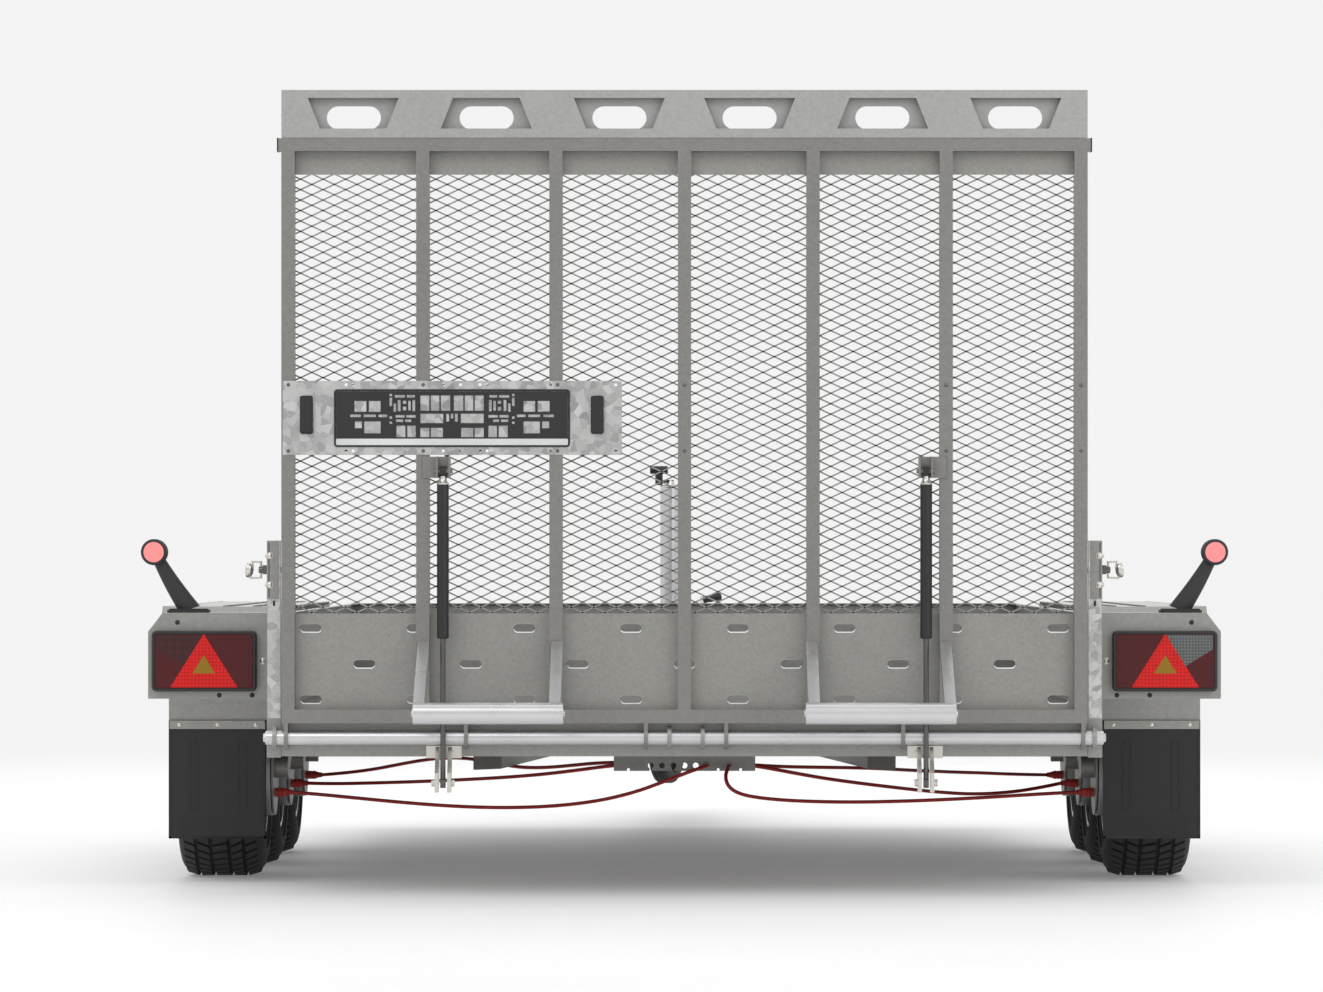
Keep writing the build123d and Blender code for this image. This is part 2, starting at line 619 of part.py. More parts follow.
def jockey_wheel():
    """Solid rubber jockey wheel with its plastic centre"""
    bore = rod("X", -30, 30, (-JOCKEY_TRAIL, JOCKEY_WHEEL_Z), 8.05)
    spot = (-JOCKEY_TRAIL, JOCKEY_WHEEL_Z)
    tread = rod("X", -26, 26, spot, JOCKEY_WHEEL_R, 68)
    centre = rod("X", -22, 22, spot, 68) - bore
    return [jockey_placed(tread), jockey_placed(centre)]


def jockey_crank():
    """Cap, cranked arm and cross grip on top of the outer tube"""
    neck_x = JOCKEY_X - 34
    cap = rod("Z", 969, 976.5, (JOCKEY_X, JOCKEY_Y), 31)
    post = rod("Z", 976.5, 992, (JOCKEY_X, JOCKEY_Y), 9)
    arm = box(neck_x, JOCKEY_X, JOCKEY_Y - 9, JOCKEY_Y + 9, 984, 992)
    neck = rod("Z", 978, 1012, (neck_x, JOCKEY_Y), 11)
    grip = rod("X", neck_x - 26, neck_x + 26, (JOCKEY_Y, 1021), 12)
    return [cap, post + arm + (neck - grip), grip]


def overrun_housing():
    tube = rod("Y", 4300, 4900, (0, COUPLING_Z), 38, 25.05)
    for y in (4420, 4790):
        foot = box(-70, 70, y, y + 70, CHASSIS_BOTTOM + 5, COUPLING_Z)
        tube = tube + (foot - rod("Y", 4200, 5000, (0, COUPLING_Z), 36))
    bracket = box(34, 44, 4430, 4490, COUPLING_Z, 464)
    tube = tube + (bracket - rod("Y", 4200, 5000, (0, COUPLING_Z), 36))
    return tube - rod("X", 38, 50, HANDBRAKE_PIVOT, 6.05)


def gaiter():
    """Rubber bellows between the housing and the coupling head"""
    points = [(4902, 26), (4902, 40)]
    folds = 7
    pitch = (5034 - 4902) / folds
    for index in range(folds):
        y = 4902 + pitch * index
        points += [(y + pitch * 0.35, 43), (y + pitch * 0.65, 43), (y + pitch, 36)]
    points += [(5034, 26)]
    outline = Wire.make_polygon([(0, y, COUPLING_Z + radius) for y, radius in points], close=True)
    axle = Axis((0, 0, COUPLING_Z), (0, 1, 0))
    return revolve(Face(outline), axis=axle, revolution_arc=360)


def coupling_head():
    """Draw tube and ball coupling body"""
    tube = rod("Y", 4420, 5060, (0, COUPLING_Z), 25)
    neck = prism("XY", [(-34, 5040), (34, 5040), (NOSE_R, COUPLING_Y), (-NOSE_R, COUPLING_Y)],
                 COUPLING_Z - 20, COUPLING_Z + 30)
    nose = rod("Z", COUPLING_Z - 28, COUPLING_Z + 30, (0, COUPLING_Y), NOSE_R)
    head = tube + neck + nose
    head = head - rod("Z", COUPLING_Z - 40, COUPLING_Z + 10, (0, COUPLING_Y), BALL_SOCKET_R)
    ears = [box(x, x + 5, 5090, 5126, COUPLING_Z + 30, COUPLING_Z + 52) for x in (-22, 17)]
    pin = rod("X", -24, 24, (5108, COUPLING_Z + 42), 5)
    return head + ears[0] + ears[1] + pin


def coupling_lever():
    """Handle that opens the ball coupling"""
    boss = rod("X", -15, 15, (5108, COUPLING_Z + 42), 9)
    arm = prism("YZ", [(5108, 434), (5108, 451), (5060, 462), (4960, 474), (4960, 463), (5062, 449)], -12, 12)
    return (boss + arm) - rod("X", -20, 20, (5108, COUPLING_Z + 42), 5.05)


def handbrake_lever():
    """Parking brake lever with its grip"""
    y, z = HANDBRAKE_PIVOT
    boss = rod("X", 44.5, 56.5, (y, z), 16)
    bar = prism("YZ", [(y - 12, z), (y + 12, z), (y + 128, 628), (y + 106, 634)], 46.5, 54.5)
    pin = rod("X", 38.5, 44.5, (y, z), 6)
    grip = rod("X", 54.5, 112, (y + 117, 648), 13)
    neck = box(46.5, 54.5, y + 106, y + 130, 626, 658)
    return boss + bar + neck + grip + pin


# ------------------------------------------------------------------ brake cables
CABLE_R = 4.5
BOOT_Z = 200
ABUTMENT = (950, 953)            # faces of the cable plate, rear and front
FERRULE_Z = 266
HOLE_PITCH = 27
REAR_FACE = ABUTMENT[0] - 14
FRONT_FACE = ABUTMENT[1] + 14

CABLE_ROUTES = {
    "left_rear": [
        (-945, 1000, 200), (-882, 1000, 195), (-790, 997, 186), (-675, 991, 175), (-550, 984, 166),
        (-425, 975, 163), (-305, 963, 168), (-200, 944, 182), (-115, 919, 204), (-50, 896, 229),
        (-5, 880, 247), (28, 884, 259), (49, 907, 265), (54, REAR_FACE, 266),
    ],
    "left_middle": [
        (-945, 1620, 200), (-885, 1600, 199), (-790, 1540, 203), (-700, 1465, 208), (-610, 1385, 214),
        (-520, 1300, 221), (-430, 1215, 229), (-340, 1135, 239), (-258, 1068, 251), (-190, 1014, 262),
        (-148, 992, 266), (-135, FRONT_FACE, 266),
    ],
    "left_front": [
        (-945, 2240, 200), (-885, 2190, 206), (-800, 2110, 219), (-722, 2010, 237), (-655, 1905, 251),
        (-592, 1795, 259), (-532, 1680, 259), (-472, 1565, 252), (-410, 1450, 245), (-345, 1335, 248),
        (-280, 1222, 257), (-212, 1116, 267), (-152, 1028, 271), (-117, 992, 268), (-108, FRONT_FACE, 266),
    ],
    "right_rear": [
        (945, 1000, 200), (880, 1001, 197), (785, 1000, 191), (665, 996, 184), (540, 989, 179),
        (420, 973, 177), (325, 948, 179), (248, 920, 183), (178, 898, 190), (131, 882, 200),
        (105, 874, 217), (97, 880, 240), (103, 906, 260), (108, REAR_FACE, 266),
    ],
    "right_middle": [
        (945, 1620, 200), (893, 1592, 190), (812, 1532, 180), (715, 1452, 178), (620, 1370, 187),
        (525, 1288, 200), (430, 1208, 214), (338, 1134, 229), (255, 1066, 246), (190, 1014, 260),
        (148, 992, 266), (135, FRONT_FACE, 266),
    ],
    "right_front": [
        (945, 2240, 200), (893, 2168, 203), (826, 2072, 208), (758, 1975, 214), (690, 1876, 219),
        (623, 1778, 225), (556, 1681, 231), (488, 1584, 238), (420, 1488, 243), (351, 1392, 247),
        (283, 1296, 251), (217, 1199, 256), (158, 1104, 263), (108, 1022, 268), (86, 990, 267),
        (81, FRONT_FACE, 266),
    ],
}


def cable(name, points):
    """Brake cable of straight runs joined by tangent arcs"""
    spots = [Vector(*point) for point in points]
    runs = [(b - a).length for a, b in zip(spots, spots[1:])]
    radii = []
    for index in range(1, len(spots) - 1):
        turn = (spots[index] - spots[index - 1]).get_angle(spots[index + 1] - spots[index])
        shorter = min(runs[index - 1], runs[index])
        radii.append(0.45 * shorter / math.tan(math.radians(turn) / 2))
    path = FilletPolyline(*spots, radius=radii)
    start = Plane(origin=spots[0], z_dir=spots[1] - spots[0])
    tube = sweep(start * Circle(CABLE_R), path=path)
    print(name, "length", round(path.length), "volume share",
          round(tube.volume / (math.pi * CABLE_R**2 * path.length), 4),
          "runs", [round(run) for run in runs], "radii", [round(radius) for radius in radii])
    return tube


def brake_cables():
    return [cable(name, points) for name, points in CABLE_ROUTES.items()]


def cable_boots():
    """Red rubber boots where the cables enter the brake back plates"""
    profile = [(0, 0), (0, 6), (17, 11), (40.5, 11), (40.5, 0)]
    return [turned(profile, BODY_HALF, side, y, BOOT_Z) for y in AXLE_YS.values() for side in (-1, 1)]


def brake_linkage():
    """Cable plate with its row of holes, ferrules, balance bar and pull rod"""
    plate = box(-170, 170, *ABUTMENT, 253, CHASSIS_BOTTOM)
    for index in range(-5, 6):
        x = index * HOLE_PITCH
        plate = plate - rod("Y", 940, 960, (x, FERRULE_Z), 7)
        if index % 2:
            plate = plate - box(x - 3, x + 3, 940, 960, 250, FERRULE_Z)
    ferrules = [rod("Y", REAR_FACE, ABUTMENT[1] + 4, (index * HOLE_PITCH, FERRULE_Z), 7) for index in (2, 4)]
    ferrules += [rod("Y", ABUTMENT[0] - 4, FRONT_FACE, (index * HOLE_PITCH, FERRULE_Z), 7)
                 for index in (-5, -4, 3, 5)]
    balance = box(-150, 150, 1100, 1112, 298, 314)
    pull_rod = rod("Y", 1112, 4290, (PULL_ROD_X, 306), 5)
    return [plate, balance, pull_rod] + ferrules


# ------------------------------------------------------------------ writing the nodes
def save_chassis():
    save("chassis_frame", *chassis_frame())
    save("rear_beam", *rear_beam())
    save("drawbar", *both_sides(drawbar_arm()), drawbar_head())
    save("deck_boards", *deck())
    save("body_panels", *body_panels())
    save("fenders", *both_sides(*fender()))
    save("mudflaps", *both_sides(mudflap()))
    save("stub_axles", *[piece for y in AXLE_YS.values() for piece in both_sides(*stub_axle(y))])
    save("lamp_boxes", *both_sides(*lamp_box()))
    save("tail_lamp_housings", *both_sides(tail_lamp_housing()))
    save("lamp_lenses", *both_sides(tail_lamp_lens(), *marker_lenses()))
    save("marker_lamps", *both_sides(marker_lamp()))
    save("hinge_tube", hinge_tube())
    save("gas_spring_lower_brackets", *both_sides(*spring_lower_bracket()))
    save("chassis_fasteners", *chassis_fasteners())
    save("brake_linkage", *brake_linkage())
    save("brake_cables", *brake_cables())
    save("cable_boots", *cable_boots())


def save_drawbar_fittings():
    save("jockey_outer_tube", *jockey_outer_tube())
    save("jockey_leg", *jockey_leg())
    save("jockey_wheel", *jockey_wheel())
    save("jockey_crank", *jockey_crank())
    save("overrun_housing", overrun_housing())
    save("drawtube_gaiter", gaiter())
    save("coupling_head", coupling_head())
    save("coupling_lever", coupling_lever())
    save("handbrake_lever", handbrake_lever())


save_ramp()
save_gas_springs()
save_chassis()
save_wheels()
for name, side in (("left", -1), ("right", 1)):
    save(f"ramp_latch_{name}", latch(side))
save_drawbar_fittings()
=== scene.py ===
import math

import bmesh
import bpy
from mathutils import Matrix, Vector


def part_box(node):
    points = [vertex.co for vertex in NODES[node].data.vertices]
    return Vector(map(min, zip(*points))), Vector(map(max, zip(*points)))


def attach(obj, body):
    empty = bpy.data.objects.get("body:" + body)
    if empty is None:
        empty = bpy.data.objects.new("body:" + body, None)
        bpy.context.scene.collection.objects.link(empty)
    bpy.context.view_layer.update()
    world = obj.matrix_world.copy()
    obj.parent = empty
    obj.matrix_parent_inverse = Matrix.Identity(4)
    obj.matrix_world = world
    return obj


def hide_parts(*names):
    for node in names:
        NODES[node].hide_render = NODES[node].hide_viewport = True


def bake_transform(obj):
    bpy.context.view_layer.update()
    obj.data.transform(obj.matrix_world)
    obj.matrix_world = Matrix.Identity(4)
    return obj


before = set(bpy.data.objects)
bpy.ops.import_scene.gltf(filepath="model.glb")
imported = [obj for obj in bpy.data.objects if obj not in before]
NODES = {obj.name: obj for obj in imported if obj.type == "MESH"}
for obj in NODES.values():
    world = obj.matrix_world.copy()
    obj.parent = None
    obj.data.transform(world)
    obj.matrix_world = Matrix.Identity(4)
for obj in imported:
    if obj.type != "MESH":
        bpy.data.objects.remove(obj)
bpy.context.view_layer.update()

SIDES = (("left", -1), ("right", 1))

# ------------------------------------------------------------------ places read from the frame, metres
MESH_LOW, MESH_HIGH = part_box("ramp_mesh")
RAMP_REAR = MESH_LOW.y - 0.036          # rear face of the ramp's bars
MM = 0.001

# millimetres, Y forward from the ramp's rear face, Z up from the ground
AXLES = (("rear", 1000), ("middle", 1620), ("front", 2240))
TYRE_R = 262.5
WHEEL_X = 1107.5                        # middle plane of a wheel
POST_X = 945                            # outer face of a rear post, and where the cables leave
CABLE_Z = 200
HINGE_Y, HINGE_Z = 20, 359
LATCH_Y, LATCH_Z = 80, 738
SPRING_X, SPRING_Y = 544, -18.5
LAMP_X, LAMP_Z = 1093, 530
LAMP_BOX_REAR = 150
MARKER_X, MARKER_Y, MARKER_Z = 1211, 195, 778
JOCKEY_X, JOCKEY_Y = -40, 4080
DRAWTUBE_Z = 400
MESH_HALF_LONG, MESH_HALF_SHORT = 0.0255, 0.0118    # metres, half a diamond each way
MESH_COLUMNS, MESH_ROWS = 71, 43
TREAD_ROWS = 58


def spot(x, y, z):
    """Millimetres, Y counted forward from the ramp's rear face, as a point of the frame"""
    return Vector((x * MM, RAMP_REAR + y * MM, z * MM))


# ------------------------------------------------------------------ shader maths
class Value:
    """A shader socket that takes part in arithmetic"""

    def __init__(self, shade, socket):
        self.shade = shade
        self.socket = socket

    def math(self, operation, *values):
        return self.shade.node("ShaderNodeMath", {"operation": operation}, dict(enumerate(values)))

    def __add__(self, other):
        return self.math("ADD", self, other)

    def __radd__(self, other):
        return self.math("ADD", other, self)

    def __sub__(self, other):
        return self.math("SUBTRACT", self, other)

    def __rsub__(self, other):
        return self.math("SUBTRACT", other, self)

    def __mul__(self, other):
        return self.math("MULTIPLY", self, other)

    def __rmul__(self, other):
        return self.math("MULTIPLY", other, self)

    def __truediv__(self, other):
        return self.math("DIVIDE", self, other)

    def __rtruediv__(self, other):
        return self.math("DIVIDE", other, self)

    def wave(self, pitch):
        """0 to 1 and back once in every pitch"""
        return self.math("PINGPONG", self, pitch / 2) / (pitch / 2)


class Shade:
    """One procedural material round a Principled shader"""

    def __init__(self, name, **fixed):
        self.material = bpy.data.materials.new(name)
        self.material.use_nodes = True
        self.tree = self.material.node_tree
        self.tree.nodes.clear()
        surface = self.tree.nodes.new("ShaderNodeOutputMaterial")
        self.shader = self.tree.nodes.new("ShaderNodeBsdfPrincipled")
        self.tree.links.new(self.shader.outputs[0], surface.inputs[0])
        self.place = self.node("ShaderNodeTexCoord", {}, {}, "Object")
        self.feed(**fixed)

    def node(self, kind, settings, values, out=0):
        made = self.tree.nodes.new(kind)
        for key, value in settings.items():
            if key == "stops":
                self.set_stops(made.color_ramp, value)
            else:
                setattr(made, key, value)
        for key, value in values.items():
            self.put(made.inputs[key], value)
        return Value(self, made.outputs[out])

    def set_stops(self, ramp, stops):
        while len(ramp.elements) < len(stops):
            ramp.elements.new(0.5)
        for element, (position, colour) in zip(ramp.elements, stops):
            element.position = position
            element.color = (*colour, 1)

    def put(self, socket, value):
        if isinstance(value, Value):
            self.tree.links.new(value.socket, socket)
        elif isinstance(value, tuple) and len(value) == 3 and socket.type == "RGBA":
            socket.default_value = (*value, 1)
        else:
            socket.default_value = value

    def feed(self, **values):
        for name, value in values.items():
            self.put(self.shader.inputs[name.replace("_", " ")], value)

    def stretched(self, x=1, y=1, z=1):
        return self.node("ShaderNodeMapping", {}, {"Vector": self.place, "Scale": (x, y, z)})

    def noise(self, scale, detail=3, roughness=0.5, vector=None):
        values = {"Vector": vector or self.place, "Scale": scale, "Detail": detail, "Roughness": roughness}
        return self.node("ShaderNodeTexNoise", {}, values)

    def cells(self, scale):
        return self.node("ShaderNodeTexVoronoi", {}, {"Vector": self.place, "Scale": scale}, "Color")

    def grey(self, colour):
        return self.node("ShaderNodeRGBToBW", {}, {0: colour})

    def axis(self, name):
        return self.node("ShaderNodeSeparateXYZ", {}, {0: self.place}, name)

    def mix(self, factor, first, second):
        return self.node("ShaderNodeMix", {"data_type": "RGBA"}, {0: factor, 6: first, 7: second}, 2)

    def between(self, factor, low, high):
        return factor * (high - low) + low

    def bump(self, height, strength, distance):
        return self.node("ShaderNodeBump", {}, {"Height": height, "Strength": strength, "Distance": distance})


def galvanised(name, dark, light, spangle, roughness, wrinkle=0.0, metallic=0.75):
    """Zinc coated steel: crystals of slightly different grey, faint runs and fine grain"""
    shade = Shade(name, Metallic=metallic)
    crystals = shade.grey(shade.cells(spangle))
    runs = shade.noise(3.0, 5, 0.6, shade.stretched(1.6, 1.6, 0.35))
    grain = shade.noise(420.0, 2)
    tone = crystals * 0.45 + runs * 0.45 + grain * 0.10
    shade.feed(
        Base_Color=shade.mix(tone, dark, light),
        Roughness=shade.between(crystals * 0.6 + runs * 0.4, roughness - 0.08, roughness + 0.10),
    )
    height = grain * 0.25 + crystals * 0.25
    if wrinkle:
        creases = shade.noise(9.0, 6, 0.65)
        height = height + creases * wrinkle
    shade.feed(Normal=shade.bump(height, 0.25, 0.0006 + 0.004 * wrinkle))
    return shade.material


def bright_zinc(name, colour, roughness):
    """Bright plated bar or tube with faint drawing lines"""
    shade = Shade(name, Metallic=0.9)
    lines = shade.noise(260.0, 2, 0.5, shade.stretched(0.03, 1, 1))
    stains = shade.noise(14.0, 4)
    low = tuple(channel * 0.82 for channel in colour)
    shade.feed(
        Base_Color=shade.mix(stains * 0.7 + lines * 0.3, low, colour),
        Roughness=shade.between(stains, roughness - 0.06, roughness + 0.10),
        Normal=shade.bump(lines, 0.04, 0.0002),
    )
    return shade.material


def rubber(name, colour, roughness=0.62, grain=700.0):
    shade = Shade(name)
    dust = shade.noise(22.0, 5, 0.6)
    fine = shade.noise(grain, 2)
    worn = tuple(min(1.0, channel * 1.9 + 0.012) for channel in colour)
    shade.feed(
        Base_Color=shade.mix(dust * 0.6 + fine * 0.25, colour, worn),
        Roughness=shade.between(dust, roughness - 0.06, roughness + 0.12),
        Normal=shade.bump(fine, 0.25, 0.0004),
    )
    return shade.material


def plastic(name, colour, roughness=0.38):
    shade = Shade(name)
    fine = shade.noise(900.0, 1)
    patches = shade.noise(12.0, 3)
    lighter = tuple(min(1.0, channel * 1.35 + 0.006) for channel in colour)
    shade.feed(
        Base_Color=shade.mix(patches, colour, lighter),
        Roughness=shade.between(patches, roughness - 0.05, roughness + 0.08),
        Normal=shade.bump(fine, 0.15, 0.0002),
    )
    return shade.material


def lens(name, deep, bright, prism=0.006, roughness=0.30, emission=0.0):
    """Moulded lens with a fine grid of prisms behind its glossy face"""
    shade = Shade(name, Coat_Weight=0.15, Coat_Roughness=0.08, Specular_IOR_Level=0.3)
    across = shade.axis("X").wave(prism)
    upward = shade.axis("Z").wave(prism)
    prisms = across * upward
    patches = shade.noise(30.0, 2)
    colour = shade.mix(prisms * 0.75 + patches * 0.25, deep, bright)
    shade.feed(
        Base_Color=colour,
        Roughness=shade.between(patches, roughness, roughness + 0.10),
        Normal=shade.bump(prisms, 0.35, 0.0012),
    )
    # On the marker lamps this glow is the lamp's own light; on the red reflector it is a painted glow.
    if emission:
        shade.feed(Emission_Color=colour, Emission_Strength=emission)
    return shade.material


def deck_film():
    """Dark phenolic film with a pressed wire-mesh grip pattern"""
    shade = Shade("deck_film")
    across = shade.axis("X").wave(0.006)
    along = shade.axis("Y").wave(0.006)
    grip = across.math("MAXIMUM", across, along)
    scuffs = shade.noise(5.0, 6, 0.65)
    shade.feed(
        Base_Color=shade.mix(scuffs, (0.022, 0.013, 0.008), (0.060, 0.038, 0.024)),
        Roughness=shade.between(scuffs, 0.55, 0.78),
        Normal=shade.bump(grip, 0.4, 0.0008),
    )
    return shade.material


STEEL = galvanised("galvanised_steel", (0.27, 0.268, 0.255), (0.40, 0.396, 0.378), 110.0, 0.46)
SHEET = galvanised("galvanised_sheet", (0.26, 0.257, 0.240), (0.39, 0.384, 0.362), 160.0, 0.50)
LIP_SHEET = galvanised("lip_sheet", (0.34, 0.34, 0.335), (0.48, 0.48, 0.47), 160.0, 0.46)
CARRIER_SHEET = galvanised("carrier_sheet", (0.16, 0.16, 0.16), (0.92, 0.92, 0.91), 60.0, 0.26, 1.4, 0.95)
BAR_STEEL = galvanised("bar_steel", (0.215, 0.210, 0.197), (0.300, 0.294, 0.278), 160.0, 0.47)
STRAND_STEEL = galvanised("strand_steel", (0.24, 0.238, 0.228), (0.41, 0.405, 0.39), 300.0, 0.40)
BRIGHT_TUBE = bright_zinc("bright_tube", (0.74, 0.74, 0.75), 0.27)
# Near-white painted highlight for the lit lower lips of the lower sheet's slots.
SLOT_LIP_PAINTED_HIGHLIGHT = bright_zinc("slot_lip_painted_highlight", (0.95, 0.95, 0.95), 0.5)
ZINC = bright_zinc("zinc_hardware", (0.78, 0.75, 0.70), 0.25)
SILVER_PAINT = bright_zinc("silver_wheel", (0.62, 0.63, 0.64), 0.34)
CASTING = galvanised("cast_coupling", (0.30, 0.30, 0.30), (0.48, 0.48, 0.47), 70.0, 0.52, 0.3)
ENAMEL = plastic("black_enamel", (0.012, 0.012, 0.013), 0.30)
DARK_ROD = bright_zinc("dark_rod", (0.16, 0.155, 0.15), 0.22)
BLACK_PLASTIC = plastic("black_plastic", (0.012, 0.012, 0.013), 0.42)
GREY_STRIP = plastic("grey_strip", (0.55, 0.56, 0.57), 0.40)
RUBBER = rubber("black_rubber", (0.016, 0.016, 0.017))
FLAP_RUBBER = rubber("flap_rubber", (0.010, 0.0105, 0.011), 0.60)
TYRE_RUBBER = rubber("tyre_rubber", (0.014, 0.014, 0.015), 0.70, 420.0)
CABLE_RED = plastic("cable_red", (0.420, 0.022, 0.020), 0.34)
BOOT_RED = rubber("boot_red", (0.42, 0.030, 0.022), 0.5)
DECK = deck_film()
LENS_RED = lens("lens_deep_red", (0.050, 0.001, 0.002), (0.120, 0.004, 0.006), 0.005)
LENS_BROWN = lens("lens_smoked_red", (0.040, 0.007, 0.008), (0.065, 0.012, 0.013), 0.020)
LENS_CLEAR = lens("lens_clear_ribbed", (0.050, 0.055, 0.055), (0.240, 0.250, 0.250), 0.007)
# Red reflector with a faint glow: painted glow, as a reflector gives no light of its own.
REFLEX_RED_PAINTED_GLOW = lens("reflex_red_painted_glow", (0.330, 0.000, 0.000), (0.900, 0.006, 0.004), 0.008, emission=0.15)
REFLEX_AMBER = lens("reflex_amber", (0.250, 0.130, 0.002), (0.340, 0.190, 0.004), 0.006)
MARKER_PINK = lens("marker_pink", (0.860, 0.220, 0.220), (1.000, 0.340, 0.330), 0.004, emission=0.25)
WINDOW_DARK = plastic("hole_shadow", (0.010, 0.010, 0.010), 0.7)

FINISHES = (
    (BAR_STEEL, "ramp_frame"),
    (STEEL, "chassis_frame rear_beam drawbar stub_axles body_panels fenders overrun_housing brake_linkage"
            " swing_arm_rear_left swing_arm_middle_left swing_arm_front_left"
            " swing_arm_rear_right swing_arm_middle_right swing_arm_front_right lamp_boxes"),
    (SHEET, "ramp_sheets"),
    (STRAND_STEEL, "ramp_mesh"),
    (LIP_SHEET, "ramp_lip"),
    (CARRIER_SHEET, "number_plate_carrier"),
    (BRIGHT_TUBE, "hinge_tube ramp_support_feet jockey_outer_tube jockey_leg"),
    (ZINC, "ramp_fasteners chassis_fasteners gas_spring_lower_brackets ramp_latch_left ramp_latch_right"
           " handbrake_lever"),
    (SILVER_PAINT, "wheel_rear_left wheel_middle_left wheel_front_left"
                   " wheel_rear_right wheel_middle_right wheel_front_right"),
    (CASTING, "coupling_head coupling_lever"),
    (ENAMEL, "gas_spring_cylinder_left gas_spring_cylinder_right"),
    (DARK_ROD, "gas_spring_rod_left gas_spring_rod_right"),
    (BLACK_PLASTIC, "number_plate_holder ramp_plastic_fittings tail_lamp_housings jockey_crank"),
    (RUBBER, "marker_lamps drawtube_gaiter jockey_wheel"),
    (FLAP_RUBBER, "mudflaps"),
    (TYRE_RUBBER, "tyre_rear_left tyre_middle_left tyre_front_left"
                  " tyre_rear_right tyre_middle_right tyre_front_right"),
    (CABLE_RED, "brake_cables"),
    (BOOT_RED, "cable_boots"),
    (DECK, "deck_boards"),
)


def finish_cad_nodes():
    for material, names in FINISHES:
        for name in names.split():
            mesh = NODES[name].data
            mesh.materials.clear()
            mesh.materials.append(material)


# ------------------------------------------------------------------ camera, light and floor
def set_camera():
    data = bpy.data.cameras.new("view_from_behind")
    data.lens = 172.6
    data.sensor_width = 36
    data.shift_x = -0.0174
    data.shift_y = 0.0484
    data.clip_end = 200
    camera = bpy.data.objects.new("view_from_behind", data)
    camera.location = (0, RAMP_REAR - 14.3, 0.760)
    camera.rotation_euler = (math.radians(90), 0, 0)
    bpy.context.collection.objects.link(camera)
    bpy.context.scene.camera = camera


def soft_light(name, place, aim, size, power):
    data = bpy.data.lights.new(name, "AREA")
    data.shape = "RECTANGLE"
    data.size, data.size_y = size
    data.energy = power
    lamp = bpy.data.objects.new(name, data)
    lamp.location = place
    lamp.rotation_euler = (Vector(aim) - Vector(place)).to_track_quat("-Z", "Y").to_euler()
    bpy.context.collection.objects.link(lamp)


def studio():
    """Pale floor that fades into an even pale surround, with large soft lights"""
    world = bpy.data.worlds.new("pale_surround")
    world.use_nodes = True
    tree = world.node_tree
    tree.nodes["Background"].inputs[0].default_value = (0.90, 0.90, 0.90, 1)
    seen = tree.nodes.new("ShaderNodeLightPath")
    level = tree.nodes.new("ShaderNodeMapRange")
    level.inputs["To Min"].default_value = 0.84
    tree.links.new(seen.outputs["Is Camera Ray"], level.inputs["Value"])
    tree.links.new(level.outputs[0], tree.nodes["Background"].inputs[1])
    bpy.context.scene.world = world
    bpy.context.scene.view_settings.view_transform = "Standard"

    shade = Shade("pale_floor", Specular_IOR_Level=0.2, Emission_Strength=0.16)
    far = shade.node("ShaderNodeVectorMath", {"operation": "LENGTH"}, {0: shade.place}, 1)
    fade = shade.node("ShaderNodeMapRange", {"interpolation_type": "SMOOTHSTEP"},
                      {"Value": far, "From Min": 3.2, "From Max": 10.0, "To Min": 1.0, "To Max": 0.0})
    mottling = shade.noise(0.7, 3)
    shade.feed(
        Base_Color=shade.mix(mottling, (0.80, 0.80, 0.80), (0.84, 0.84, 0.84)),
        Roughness=shade.between(mottling, 0.55, 0.65),
        Emission_Color=shade.mix(mottling, (0.98, 0.98, 0.98), (1.0, 1.0, 1.0)),
        Alpha=fade,
    )
    floor = new_piece("studio_floor", disc_mesh(30, 96), shade.material)

    soft_light("key_light", (-3.5, RAMP_REAR - 6.5, 6.5), (0, RAMP_REAR, 0.8), (5, 4), 150)
    soft_light("fill_light", (5.0, RAMP_REAR - 6.0, 3.5), (0, RAMP_REAR, 0.8), (5, 4), 90)
    soft_light("top_light", (0, 0.5, 7.0), (0, 0, 0), (7, 7), 105)
    soft_light("front_light", (0, 9.0, 4.0), (0, 0, 0.8), (6, 4), 110)


# ------------------------------------------------------------------ mesh helpers
def disc_mesh(radius, steps):
    mesh = bmesh.new()
    bmesh.ops.create_circle(mesh, cap_ends=True, segments=steps, radius=radius)
    return mesh


CREASE = 35                             # degrees


def smooth(mesh):
    """Smooth shading, with the edges sharper than CREASE kept crisp"""
    for face in mesh.faces:
        face.smooth = True
    for edge in mesh.edges:
        if len(edge.link_faces) == 2 and edge.calc_face_angle(0) > math.radians(CREASE):
            edge.smooth = False


def new_piece(name, shape, *materials, recalc=False):
    """Object at the origin from a bmesh or mesh"""
    if isinstance(shape, bmesh.types.BMesh):
        bmesh.ops.remove_doubles(shape, verts=shape.verts, dist=1e-6)
        if recalc:
            outward(shape)
        smooth(shape)
        mesh = bpy.data.meshes.new(name)
        shape.to_mesh(mesh)
        shape.free()
    else:
        mesh = shape
        mesh.materials.clear()
    for material in materials:
        mesh.materials.append(material)
    piece = bpy.data.objects.new(name, mesh)
    bpy.context.collection.objects.link(piece)
    return piece


def on_body(piece, body, slot, *replaced):
    """The body that carries the piece and the CAD nodes it stands in for; the material slot is not used"""
    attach(piece, body)
    if replaced:
        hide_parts(*replaced)


def carried(name, mesh, materials, body, slot, *replaced):
    """Outward-facing piece from a bmesh, on its body"""
    on_body(new_piece(name, mesh, *materials, recalc=True), body, slot, *replaced)


def outward(mesh):
    bmesh.ops.recalc_face_normals(mesh, faces=mesh.faces)


def source_object(name, shape):
    """Object that a pattern copies; the caller removes it after baking"""
    mesh = bpy.data.meshes.new(name)
    shape.to_mesh(mesh)
    shape.free()
    source = bpy.data.objects.new(name, mesh)
    bpy.context.collection.objects.link(source)
    return source


